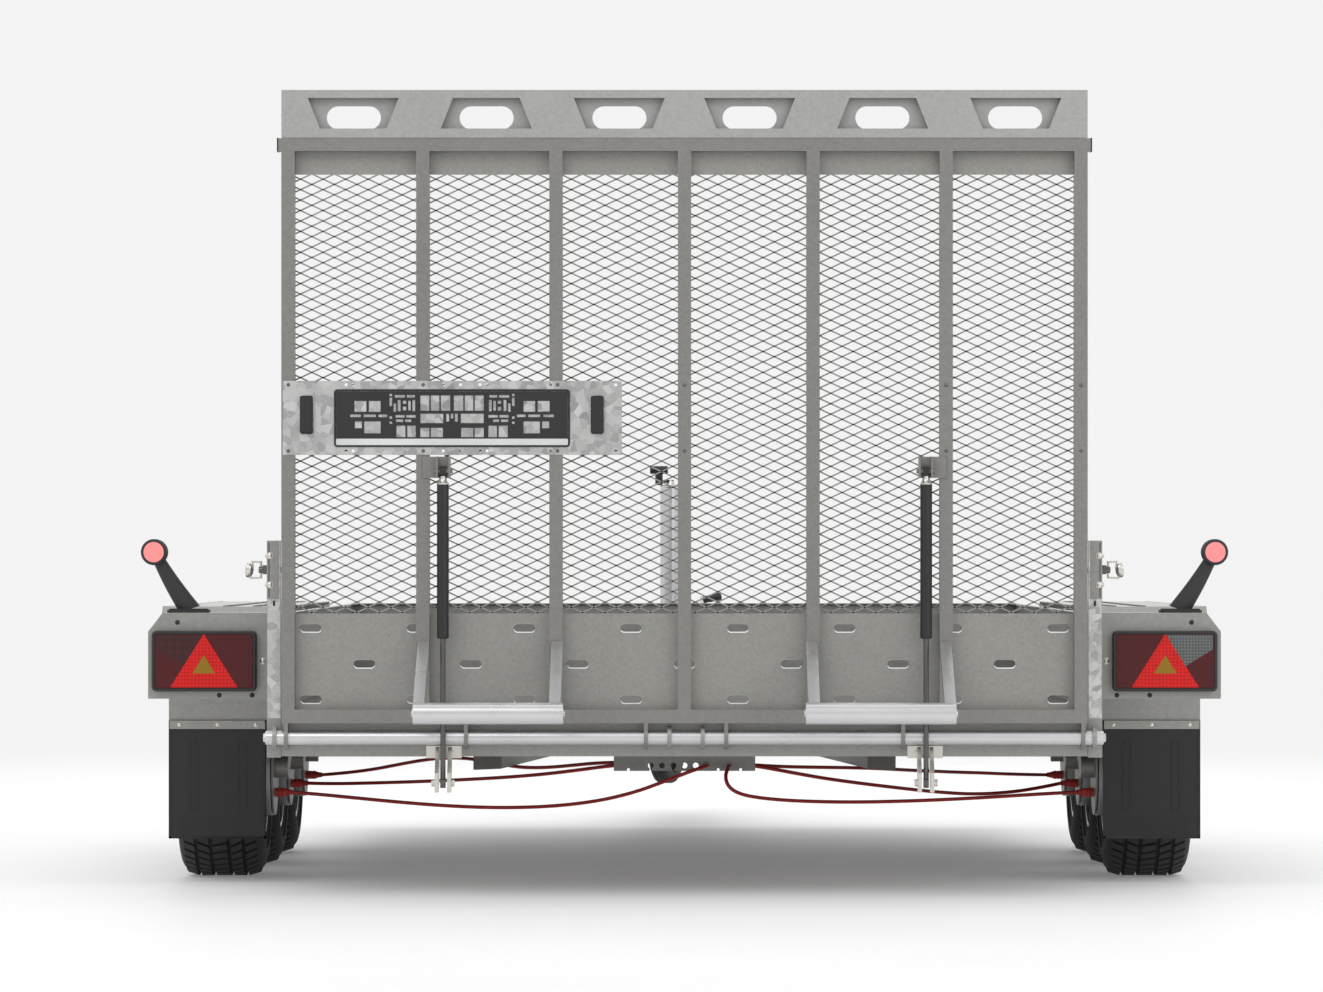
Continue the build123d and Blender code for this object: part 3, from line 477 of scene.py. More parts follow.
def block(mesh, low, high):
    """Closed block between two corners, in millimetres"""
    corners = [spot(x, y, z) for z in (low[2], high[2]) for y in (low[1], high[1]) for x in (low[0], high[0])]
    verts = [mesh.verts.new(corner) for corner in corners]
    for loop in ((0, 2, 3, 1), (4, 5, 7, 6), (0, 1, 5, 4), (2, 6, 7, 3), (0, 4, 6, 2), (1, 3, 7, 5)):
        mesh.faces.new([verts[index] for index in loop])


def tube_ring(mesh, centre, axis, radius, steps):
    """Ring of vertices round an axis through centre, both in metres"""
    axis = Vector(axis).normalized()
    side = axis.orthogonal().normalized() if abs(axis.z) > 0.9 else axis.cross(Vector((0, 0, 1))).normalized()
    up = axis.cross(side)
    ring = []
    for step in range(steps):
        angle = 2 * math.pi * step / steps
        offset = side * math.cos(angle) * radius + up * math.sin(angle) * radius
        ring.append(mesh.verts.new(Vector(centre) + offset))
    return ring


def bridge(mesh, first, second, material=0):
    count = len(first)
    for step in range(count):
        after = (step + 1) % count
        mesh.faces.new((first[step], first[after], second[after], second[step])).material_index = material


def loft(mesh, rings, closed=False):
    """Walls between rings that follow each other; closed joins the last to the first"""
    for first, second in zip(rings, rings[1:] + (rings[:1] if closed else [])):
        bridge(mesh, first, second)


def lathe(mesh, profile, centre, axis, steps=48, material=0, closed=False):
    """Spin a profile of (distance along axis, radius) in millimetres about an axis; centre in metres"""
    axis = Vector(axis).normalized()
    rings = []
    for along, radius in profile:
        middle = Vector(centre) + axis * along * MM
        if radius <= 0:
            rings.append([mesh.verts.new(middle)])
        else:
            rings.append(tube_ring(mesh, middle, axis, radius * MM, steps))
    pairs = list(zip(rings, rings[1:])) + ([(rings[-1], rings[0])] if closed else [])
    for first, second in pairs:
        if len(first) == 1 and len(second) == 1:
            continue
        if len(first) == 1 or len(second) == 1:
            hub, ring = (first[0], second) if len(first) == 1 else (second[0], first)
            for step in range(steps):
                after = (step + 1) % steps
                mesh.faces.new((hub, ring[step], ring[after])).material_index = material
        else:
            bridge(mesh, first, second, material)


def slab(mesh, outline, axis, low, high, material=0):
    """Closed prism of an outline of (a, b) points in millimetres between two places on the axis"""
    order = {
        "X": lambda a, b, c: spot(c, a, b),
        "Y": lambda a, b, c: spot(a, c, b),
        "Z": lambda a, b, c: spot(a, b, c),
    }[axis]
    near = [mesh.verts.new(order(a, b, low)) for a, b in outline]
    far = [mesh.verts.new(order(a, b, high)) for a, b in outline]
    mesh.faces.new(near).material_index = material
    mesh.faces.new(list(reversed(far))).material_index = material
    bridge(mesh, near, far, material)


def rounded(x0, x1, z0, z1, radius, steps=5):
    """Outline of a rectangle with round corners"""
    points = []
    for cx, cz, start in ((x1 - radius, z1 - radius, 0), (x0 + radius, z1 - radius, 90),
                          (x0 + radius, z0 + radius, 180), (x1 - radius, z0 + radius, 270)):
        for step in range(steps + 1):
            angle = math.radians(start + 90 * step / steps)
            points.append((cx + radius * math.cos(angle), cz + radius * math.sin(angle)))
    return points


def span(side, x0, x1):
    """Low and high X of a width that is given for the right side"""
    return sorted((side * x0, side * x1))


def add_bevel(piece, width_mm):
    bevel = piece.modifiers.new("edge_rounding", "BEVEL")
    bevel.width = width_mm * MM
    bevel.segments = 2
    bevel.limit_method = "ANGLE"
    bevel.angle_limit = math.radians(CREASE)
    bevel.harden_normals = False


# ------------------------------------------------------------------ brake cables
CABLE_ROUTES = {
    "left_rear": (1.060, [
        (-945, 1000, 200), (-882, 1000, 195), (-790, 997, 186), (-675, 991, 175), (-550, 984, 166),
        (-425, 975, 163), (-305, 963, 168), (-200, 944, 182), (-115, 919, 204), (-50, 896, 229),
        (-5, 880, 247), (28, 884, 259), (49, 907, 265), (54, 936, 266),
    ]),
    "left_middle": (1.051, [
        (-945, 1620, 200), (-885, 1600, 199), (-790, 1540, 203), (-700, 1465, 208), (-610, 1385, 214),
        (-520, 1300, 221), (-430, 1215, 229), (-340, 1135, 239), (-258, 1068, 251), (-190, 1014, 262),
        (-148, 992, 266), (-135, 967, 266),
    ]),
    "left_front": (1.538, [
        (-945, 2240, 200), (-885, 2190, 206), (-800, 2110, 219), (-722, 2010, 237), (-655, 1905, 251),
        (-592, 1795, 259), (-532, 1680, 259), (-472, 1565, 252), (-410, 1450, 245), (-345, 1335, 248),
        (-280, 1222, 257), (-212, 1116, 267), (-152, 1028, 271), (-117, 992, 268), (-108, 967, 266),
    ]),
    "right_rear": (0.949, [
        (945, 1000, 200), (880, 1001, 197), (785, 1000, 191), (665, 996, 184), (540, 989, 179),
        (420, 973, 177), (325, 948, 179), (248, 920, 183), (178, 898, 190), (131, 882, 200),
        (105, 874, 217), (97, 880, 240), (103, 906, 260), (108, 936, 266),
    ]),
    "right_middle": (1.051, [
        (945, 1620, 200), (893, 1592, 190), (812, 1532, 180), (715, 1452, 178), (620, 1370, 187),
        (525, 1288, 200), (430, 1208, 214), (338, 1134, 229), (255, 1066, 246), (190, 1014, 260),
        (148, 992, 266), (135, 967, 266),
    ]),
    "right_front": (1.542, [
        (945, 2240, 200), (893, 2168, 203), (826, 2072, 208), (758, 1975, 214), (690, 1876, 219),
        (623, 1778, 225), (556, 1681, 231), (488, 1584, 238), (420, 1488, 243), (351, 1392, 247),
        (283, 1296, 251), (217, 1199, 256), (158, 1104, 263), (108, 1022, 268), (86, 990, 267),
        (81, 967, 266),
    ]),
}
CABLE_DIAMETER = 0.009


def brake_cable(name, route):
    """Outer sleeve of one brake cable on a smooth curve through its route"""
    curve = bpy.data.curves.new("brake_cable_" + name, "CURVE")
    curve.dimensions = "3D"
    spline = curve.splines.new("NURBS")
    spline.points.add(len(route) - 1)
    for point, place in zip(spline.points, route):
        point.co = (*spot(*place), 1)
    spline.order_u = 3
    spline.use_endpoint_u = True
    spline.resolution_u = 6
    curve.bevel_depth = CABLE_DIAMETER / 2
    curve.bevel_resolution = 3
    curve.use_fill_caps = True
    curve.materials.append(CABLE_RED)
    cable = bpy.data.objects.new("brake_cable_" + name, curve)
    bpy.context.collection.objects.link(cable)
    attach(cable, "chassis")
    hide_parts("brake_cables")
    tuple(spot(*route[0]))


def brake_cables():
    for name, (length, route) in CABLE_ROUTES.items():
        brake_cable(name, route)


# ------------------------------------------------------------------ repeated shapes by Geometry Nodes
class Pattern:
    """One Geometry Nodes tree with named sizes, baked to a plain mesh"""

    def __init__(self, name):
        self.name = name
        self.tree = bpy.data.node_groups.new(name, "GeometryNodeTree")
        self.tree.interface.new_socket("Geometry", in_out="INPUT", socket_type="NodeSocketGeometry")
        self.tree.interface.new_socket("Geometry", in_out="OUTPUT", socket_type="NodeSocketGeometry")
        self.given = self.tree.nodes.new("NodeGroupInput")
        self.sizes = {}

    def size(self, name, value):
        """Named input of the tree; whole numbers become counts"""
        kind = "NodeSocketInt" if isinstance(value, int) else "NodeSocketFloat"
        entry = self.tree.interface.new_socket(name, in_out="INPUT", socket_type=kind)
        self.sizes[entry.identifier] = value
        return self.given.outputs[name]

    @property
    def points(self):
        return self.given.outputs["Geometry"]

    def node(self, kind, settings=None, values=None, out=0):
        made = self.tree.nodes.new(kind)
        for key, value in (settings or {}).items():
            setattr(made, key, value)
        for key, value in (values or {}).items():
            socket = made.inputs[key]
            if isinstance(value, bpy.types.NodeSocket):
                self.tree.links.new(value, socket)
            else:
                socket.default_value = value
        return made.outputs[out]

    def math(self, operation, first, second=0.0):
        return self.node("ShaderNodeMath", {"operation": operation}, {0: first, 1: second})

    def vector(self, x=0.0, y=0.0, z=0.0):
        return self.node("ShaderNodeCombineXYZ", {}, {0: x, 1: y, 2: z})

    def join(self, *shapes):
        joined = self.tree.nodes.new("GeometryNodeJoinGeometry")
        for shape in reversed(shapes):
            self.tree.links.new(shape, joined.inputs[0])
        return joined.outputs[0]

    def bake(self, result, material, places=((0, 0, 0),)):
        """Realize, set the material and return the evaluated mesh of the pattern"""
        real = self.node("GeometryNodeRealizeInstances", {}, {0: result})
        done = self.node("GeometryNodeSetMaterial", {}, {"Geometry": real, "Material": material})
        end = self.tree.nodes.new("NodeGroupOutput")
        self.tree.links.new(done, end.inputs[0])
        base = bpy.data.meshes.new(self.name)
        base.from_pydata([tuple(place) for place in places], [], [])
        holder = bpy.data.objects.new(self.name, base)
        bpy.context.collection.objects.link(holder)
        modifier = holder.modifiers.new("pattern", "NODES")
        modifier.node_group = self.tree
        for identifier, value in self.sizes.items():
            modifier[identifier] = value
        graph = bpy.context.evaluated_depsgraph_get()
        mesh = bpy.data.meshes.new_from_object(holder.evaluated_get(graph))
        holder.modifiers.remove(modifier)
        bpy.data.objects.remove(holder)
        return mesh


def expanded_mesh():
    """Zigzag strands of the ramp's expanded metal, every second one mirrored"""
    pattern = Pattern("expanded_mesh_strands")
    half_long = pattern.size("Half Long Way", MESH_HALF_LONG)
    half_short = pattern.size("Half Short Way", MESH_HALF_SHORT)
    depth = pattern.size("Strand Depth", 0.0022)
    width = pattern.size("Strand Width", 0.0036)
    columns = pattern.size("Columns", MESH_COLUMNS)
    rows = pattern.size("Rows", MESH_ROWS)
    line = pattern.node("GeometryNodeMeshLine", {}, {"Count": columns, "Offset": pattern.vector(half_long)})
    index = pattern.node("GeometryNodeInputIndex")
    odd = pattern.math("MODULO", index, 2.0)
    lift = pattern.vector(0.0, 0.0, pattern.math("MULTIPLY", odd, half_short))
    zigzag = pattern.node("GeometryNodeSetPosition", {}, {"Geometry": line, "Offset": lift})
    curve = pattern.node("GeometryNodeMeshToCurve", {}, {"Mesh": zigzag})
    section = pattern.node("GeometryNodeCurvePrimitiveQuadrilateral", {}, {0: depth, 1: width})
    strand = pattern.node("GeometryNodeCurveToMesh", {},
                          {"Curve": curve, "Profile Curve": section, "Fill Caps": True})
    down = pattern.node("GeometryNodeTransform", {}, {"Geometry": strand, "Scale": (1, 1, -1)})
    down = pattern.node("GeometryNodeFlipFaces", {}, {"Mesh": down})
    pair = pattern.join(strand, down)
    gap = pattern.math("MULTIPLY", half_short, 2.0)
    stack = pattern.node("GeometryNodeMeshLine", {}, {"Count": rows, "Offset": pattern.vector(0.0, 0.0, gap)})
    start = Vector((-MESH_HALF_LONG * (MESH_COLUMNS // 2) - 0.001, (MESH_LOW.y + MESH_HIGH.y) / 2,
                    MESH_LOW.z + 0.0024))
    stack = pattern.node("GeometryNodeTransform", {}, {"Geometry": stack, "Translation": start})
    result = pattern.node("GeometryNodeInstanceOnPoints", {}, {"Points": stack, "Instance": pair})
    piece = new_piece("ramp_expanded_mesh", pattern.bake(result, STRAND_STEEL), STRAND_STEEL)
    on_body(piece, "ramp", "galvanised_sheet", "ramp_mesh")


def placed_shapes(name, shape, places, material, body, slot, *replaced):
    """The same small shape at every place, as one piece; shape is a bmesh about the origin"""
    smooth(shape)
    source = source_object(name + "_one", shape)
    pattern = Pattern(name)
    scale = pattern.size("Scale", 1.0)
    one = pattern.node("GeometryNodeObjectInfo", {}, {"Object": source}, 4)
    values = {"Points": pattern.points, "Instance": one, "Scale": pattern.vector(scale, scale, scale)}
    mesh = pattern.bake(pattern.node("GeometryNodeInstanceOnPoints", {}, values), material, places)
    bpy.data.objects.remove(source)
    piece = new_piece(name, mesh, material)
    on_body(piece, body, slot, *replaced)


# ------------------------------------------------------------------ small shapes about the origin, metres
def dome_bolt(radius, stand, axis=(0, -1, 0)):
    """Domed bolt head on a thin washer, pointing along the axis"""
    mesh = bmesh.new()
    profile = [(0, 0), (0, radius * 1.25), (stand * 0.2, radius * 1.25), (stand * 0.25, radius),
               (stand * 0.6, radius * 0.94), (stand * 0.88, radius * 0.62), (stand, 0)]
    lathe(mesh, profile, (0, 0, 0), axis, 16)
    outward(mesh)
    return mesh


def hex_bolt(radius, stand, axis=(0, -1, 0)):
    """Hexagon head on a round washer"""
    mesh = bmesh.new()
    lathe(mesh, [(0, 0), (0, radius * 1.3), (stand * 0.2, radius * 1.3), (stand * 0.2, radius * 0.9)],
          (0, 0, 0), axis, 18)
    lathe(mesh, [(stand * 0.2, radius), (stand * 0.85, radius), (stand, radius * 0.85), (stand, 0)],
          (0, 0, 0), axis, 6)
    outward(mesh)
    return mesh


def both(places):
    return [spot(side * x, y, z) for side in (-1, 1) for x, y, z in places]


def bolt_heads():
    """Visible heads of the bolts, screws, rivets and plugs"""
    placed_shapes("post_and_lamp_bolts", dome_bolt(6.0, 5),
                  both([(938, 50, 704), (938, 50, 770), (961, LAMP_BOX_REAR, LAMP_Z)]),
                  ZINC, "chassis", "zinc_hardware", "chassis_fasteners")
    for name, side in SIDES:
        outward_axis, inward_axis = (side, 0, 0), (-side, 0, 0)
        placed_shapes("hinge_end_screw_" + name, hex_bolt(11, 6, outward_axis),
                      [spot(side * POST_X, HINGE_Y, HINGE_Z)], ZINC, "chassis", "zinc_hardware")
        placed_shapes("post_side_bolts_" + name, dome_bolt(5, 5, outward_axis),
                      [spot(side * POST_X, 62, z) for z in (704, 770)], ZINC, "chassis", "zinc_hardware")
        placed_shapes("foot_end_bolts_" + name, dome_bolt(8, 5, outward_axis),
                      [spot(side * 600, -290, 421)], ZINC, "ramp", "zinc_hardware", "ramp_fasteners")
        placed_shapes("foot_inner_bolts_" + name, dome_bolt(8, 5, inward_axis),
                      [spot(side * 268, -290, 421)], ZINC, "ramp", "zinc_hardware")
    placed_shapes("mudflap_strip_rivets", dome_bolt(3.5, 2),
                  both([(x, 638, 372) for x in (1010, 1100, 1190)]),
                  ZINC, "chassis", "zinc_hardware")
    placed_shapes("lamp_box_plugs", dome_bolt(4.5, 2),
                  both([(1155, LAMP_BOX_REAR, 618), (1060, LAMP_BOX_REAR, 452), (985, LAMP_BOX_REAR, 452)]),
                  BLACK_PLASTIC, "chassis", "black_plastic")
    bar_spots = [spot(x, 0, z) for x in (0, 590, 894) for z in (1006, 1154)]
    carrier_spots = [spot(x, -2, z) for x in (-893, -589, -286) for z in (1006, 1155)]
    placed_shapes("ramp_bar_screws", dome_bolt(3.4, 2.4), bar_spots + carrier_spots,
                  DARK_ROD, "ramp", "zinc_hardware")
    placed_shapes("beam_lug_bolts", hex_bolt(6, 4), both([(560, 42, 326), (528, 42, 326)]),
                  ZINC, "chassis", "zinc_hardware")


def slot_collars():
    """Pressed rims round the slots of the ramp's lower sheet, and crescents on their lower lips painted near
    white as the highlight where top light falls on them
    """
    def rings_of(mesh, sections):
        return [[mesh.verts.new((x * MM, y * MM, z * MM)) for x, z in outline] for outline, y in sections]

    rim = bmesh.new()
    outer = rounded(-26.5, 26.5, -11.2, 11.2, 11.1, 6)
    inner = rounded(-24.2, 24.2, -9.0, 9.0, 8.9, 6)
    loft(rim, rings_of(rim, ((outer, -0.4), (inner, -0.9), (inner, 7.5), (outer, 7.5))), closed=True)
    outward(rim)
    places = []
    row_pitch = 241.2
    for z, offset in ((606, 0.5), (525, 0), (445, 0.5)):
        for step in range(-4, 5):
            x = (step + offset) * row_pitch
            if abs(x) < 869:
                places.append(spot(x, 36, z))
    placed_shapes("sheet_slot_rims", rim, places, SHEET, "ramp", "galvanised_sheet")
    # Crescent on each slot's lower lip, carrying the painted highlight.
    lip = bmesh.new()
    crescent = [(-24.5, -3), (-21.5, -8.6), (-17, -10.6), (17, -10.6), (21.5, -8.6), (24.5, -3), (22.6, -3.6),
                (20.2, -6.6), (16, -8.0), (-16, -8.0), (-20.2, -6.6), (-22.6, -3.6)]
    rings = rings_of(lip, ((crescent, -1.4), (crescent, 3)))
    loft(lip, rings)
    for ring in rings:
        lip.faces.new(ring)
    outward(lip)
    placed_shapes("sheet_slot_lower_lips", lip, places, SLOT_LIP_PAINTED_HIGHLIGHT, "ramp", "galvanised_sheet")


# ------------------------------------------------------------------ lamps


def tail_lamp(name, side):
    """Moulded lens with its warning triangle; the two sides differ in one corner"""
    middle = side * LAMP_X

    def outline(half_wide, half_high, radius, steps=5):
        return rounded(middle - half_wide, middle + half_wide, LAMP_Z - half_high, LAMP_Z + half_high,
                       radius, steps)

    mesh = bmesh.new()
    slab(mesh, outline(112, 62, 7), "Y", 123.4, 145)
    slab(mesh, outline(110, 60, 6), "Y", 122, 123.4)
    corner = [(side * 2, 60), (side * 108, 60), (side * 108, 27), (side * 45, -12)]
    triangle = [(-77, -60), (77, -60), (0, 62)]
    centre_mark = [(-26, -28), (26, -28), (0, 14)]
    for index, (points, y0, y1) in enumerate(((corner, 121.5, 122.4), (triangle, 120.9, 122.4),
                                              (centre_mark, 120.4, 121.6))):
        slab(mesh, [(middle + x, LAMP_Z + z) for x, z in points], "Y", y0, y1, index + 1)
    odd = LENS_BROWN if side < 0 else LENS_CLEAR
    carried("tail_lamp_lens_" + name, mesh, (LENS_RED, odd, REFLEX_RED_PAINTED_GLOW, REFLEX_AMBER),
            "chassis", "lamp_lens", "lamp_lenses")

    frame_mesh = bmesh.new()
    rim, edge, inside = outline(119, 69, 11, 6), outline(117, 67, 10, 6), outline(112.4, 62.4, 7, 6)
    rings = [[frame_mesh.verts.new(spot(x, y, z)) for x, z in points] for points, y in (
        (rim, 150), (rim, 124), (edge, 121.5), (inside, 121.5), (inside, 146))]
    loft(frame_mesh, rings)
    frame_mesh.faces.new(rings[-1])
    frame_mesh.faces.new(rings[0])
    carried("tail_lamp_frame_" + name, frame_mesh, (BLACK_PLASTIC,),
            "chassis", "black_plastic", "tail_lamp_housings")


def marker_lamp(name, side):
    """Outline lamp on its leaning rubber arm"""
    mesh = bmesh.new()
    slab(mesh, rounded(*span(side, 1085, 1180), 160, 230, 8), "Z", 640, 646)
    slab(mesh, rounded(*span(side, 1089, 1176), 164, 226, 7), "Z", 646, 649)
    arm_steps, arm_sides = 8, 20
    rings = []
    for step in range(arm_steps + 1):
        share = step / arm_steps
        bend = math.sin(share * math.pi) * 2.5
        x = 1131 + (1202 - 1131) * share + bend
        z = 648 + (762 - 648) * share
        wide = 25 - 11 * share
        deep = 17 - 4 * share
        ring = []
        for turn in range(arm_sides):
            angle = 2 * math.pi * turn / arm_sides
            across = wide * math.cos(angle)
            place = spot(side * (x + across * 0.95), MARKER_Y + deep * math.sin(angle), z - across * 0.30)
            ring.append(mesh.verts.new(place))
        rings.append(ring)
    loft(mesh, rings)
    mesh.faces.new(rings[0])
    mesh.faces.new(rings[-1])
    centre = spot(side * MARKER_X, MARKER_Y, MARKER_Z)
    head = [(-27.5, 0), (-27.5, 23.8), (-28.0, 24.5), (-27.4, 27.5), (-24.5, 29.5), (-18, 30), (-6, 28.6),
            (6, 28.6),
            (18, 30), (24.5, 29.5), (27.4, 27.5), (28.0, 24.5), (27.5, 23.8), (27.5, 0)]
    lathe(mesh, head, centre, (0, 1, 0), 48)
    carried("marker_lamp_arm_" + name, mesh, (RUBBER,), "chassis", "black_rubber", "marker_lamps")
    glass = bmesh.new()
    for facing in (-1, 1):
        profile = [(26.0, 0), (26.0, 23.5), (27.4, 23.5), (28.0, 21.0), (28.0, 7), (27.6, 0)]
        lathe(glass, profile, centre, (0, facing, 0), 40)
    carried("marker_lamp_lenses_" + name, glass, (MARKER_PINK,), "chassis", "lamp_lens", "lamp_lenses")


# ------------------------------------------------------------------ number plate holder
def holder_windows():
    """Cut-outs of the right half, millimetres from the middle and down from the top edge"""
    top_row = [(4, 25.5, 14, 48.5), (28.5, 48, 14, 48.5), (51, 71.5, 14, 48.5)]
    middle_row = [(19.5, 71.5, 55, 76.5), (6.5, 13, 55, 73), (-3, 3, 55, 66)]
    bottom_row = [(20.5, 48, 87, 108), (51, 71.5, 87, 108), (82, 101, 82, 108), (105, 125.5, 82, 108)]
    frets = [(84, 102, 13, 19), (106, 129, 13, 19), (83, 89.5, 24, 49.5), (93, 99, 26, 48),
             (103, 111, 26, 33), (103, 111, 39, 48), (116, 122.5, 24, 49.5), (126, 132, 32, 51),
             (82, 103.5, 58, 64), (107, 127.5, 58, 64), (92, 106, 68, 74), (110, 126.5, 68, 74),
             (135, 141, 10, 16), (135, 141, 19, 38), (135, 141, 61, 67), (135, 141, 73, 78)]
    outer = [(161, 187.5, 26.5, 51), (193, 220, 26.5, 51), (146, 166, 57, 63), (171.5, 199, 57, 63),
             (205.5, 229.5, 57, 63), (161, 198, 72.5, 99.5), (203, 219, 72.5, 88)]
    right = top_row + middle_row + bottom_row + frets + outer
    return right + [(-x1, -x0, z0, z1) for x0, x1, z0, z1 in right]


def number_plate_holder():
    """Black moulded holder with its field of cut-outs and a blank strip along the bottom"""
    middle, top = -524, 1145
    windows = [(middle + x0, middle + x1, top - z1, top - z0) for x0, x1, z0, z1 in holder_windows()]
    x_low, x_high, z_low, z_high = middle - 261, middle + 261, top - 112, top - 5
    xs = sorted({x_low, x_high} | {x for window in windows for x in window[:2]})
    zs = sorted({z_low, z_high} | {z for window in windows for z in window[2:]})
    mesh = bmesh.new()
    grid = {(x, z): mesh.verts.new(spot(x, -5.0, z)) for x in xs for z in zs}
    for x0, x1 in zip(xs, xs[1:]):
        for z0, z1 in zip(zs, zs[1:]):
            cx, cz = (x0 + x1) / 2, (z0 + z1) / 2
            if not any(a < cx < b and c < cz < d for a, b, c, d in windows):
                mesh.faces.new([grid[corner] for corner in ((x0, z0), (x1, z0), (x1, z1), (x0, z1))])
    field = bmesh.ops.extrude_face_region(mesh, geom=list(mesh.faces))
    moved = [item for item in field["geom"] if isinstance(item, bmesh.types.BMVert)]
    bmesh.ops.translate(mesh, verts=moved, vec=(0, 0.0028, 0))
    loose = [vert for vert in mesh.verts if not vert.link_faces]
    bmesh.ops.delete(mesh, geom=loose, context="VERTS")
    rings = []
    for inset, radius, y in ((0, 8, -2.05), (0, 8, -6.4), (1.0, 7.4, -7.0), (3.4, 5.4, -7.0),
                             (4.4, 4.6, -4.9),
                             (4.4, 4.6, -2.05)):
        outline = rounded(middle - 266 + inset, middle + 266 - inset, 1014.5 + inset, top - inset, radius, 6)
        rings.append([mesh.verts.new(spot(x, y, z)) for x, z in outline])
    loft(mesh, rings, closed=True)
    strip = rounded(middle - 261.4, middle + 261.4, 1019, 1033.4, 3)
    slab(mesh, strip, "Y", -5.9, -2.2, 1)
    carried("number_plate_holder_moulding", mesh, (BLACK_PLASTIC, GREY_STRIP),
            "ramp", "black_plastic", "number_plate_holder")


def plate_lamps():
    """Two number plate lamps with ribbed covers, and the cross tube's end caps"""
    mesh = bmesh.new()
    for x0 in (-866, -211):
        slab(mesh, rounded(x0, x0 + 29, 1044, 1130, 5), "Y", -21, -2)
        slab(mesh, rounded(x0 + 2, x0 + 27, 1048, 1126, 4), "Y", -26, -21)
        for rib in range(7):
            z = 1053 + rib * 11
            slab(mesh, rounded(x0 + 4, x0 + 25, z, z + 5, 2), "Y", -26.6, -26)
    for side in (-1, 1):
        outline = [(-1, 1681), (37, 1681), (37, 1712), (-1, 1712)]
        slab(mesh, outline, "X", side * 916, side * 919)
    piece = new_piece("plate_lamps_and_tube_caps", mesh, BLACK_PLASTIC, recalc=True)
    add_bevel(piece, 0.8)
    on_body(piece, "ramp", "black_plastic", "ramp_plastic_fittings")


# ------------------------------------------------------------------ mudflaps and fenders
def mudflap(name, side):
    """Moulded flap with a raised border and plain upright ribs"""
    mesh = bmesh.new()

    def panel(x0, x1, z0, z1, radius, y0, y1):
        slab(mesh, rounded(*span(side, x0, x1), z0, z1, radius), "Y", y0, y1)

    panel(986, 1215, 104, 383, 7, 641.4, 646)
    for x0, x1, z0, z1 in ((986, 1215, 376, 383), (986, 1215, 104, 110), (986, 991, 104, 383),
                           (1210, 1215, 104, 383)):
        panel(x0, x1, z0, z1, 2.4, 640, 642)
    for x in (1034, 1052, 1148, 1166):
        panel(x - 2.2, x + 2.2, 172, 330, 2, 640.2, 642)
    for x0, x1, z in ((1034, 1052, 330), (1148, 1166, 330), (1034, 1052, 172), (1148, 1166, 172)):
        panel(x0, x1, z - 2.2, z + 2.2, 2, 640.2, 642)
    for z in range(118, 160, 9):
        panel(1010, 1190, z, z + 2.5, 1.2, 640.6, 642)
    carried("mudflap_" + name, mesh, (FLAP_RUBBER,), "chassis", "black_rubber", "mudflaps")


def fender_strips():
    """Anti-slip strips along the tops of the wheel covers and their edge beads"""
    mesh = bmesh.new()
    for side in (-1, 1):
        for x in (1004, 1074):
            slab(mesh, rounded(*span(side, x, x + 22), 760, 2520, 6), "Z", 650, 651.6)
    carried("fender_grip_strips", mesh, (FLAP_RUBBER,), "chassis", "black_rubber")
    bead = bmesh.new()
    for side in (-1, 1):
        x0, x1 = span(side, 1226, 1234.4)
        block(bead, (x0, 706, 648), (x1, 2580, 650.6))
    carried("fender_edge_beads", bead, (STEEL,), "chassis", "galvanised_steel")


# ------------------------------------------------------------------ wheels


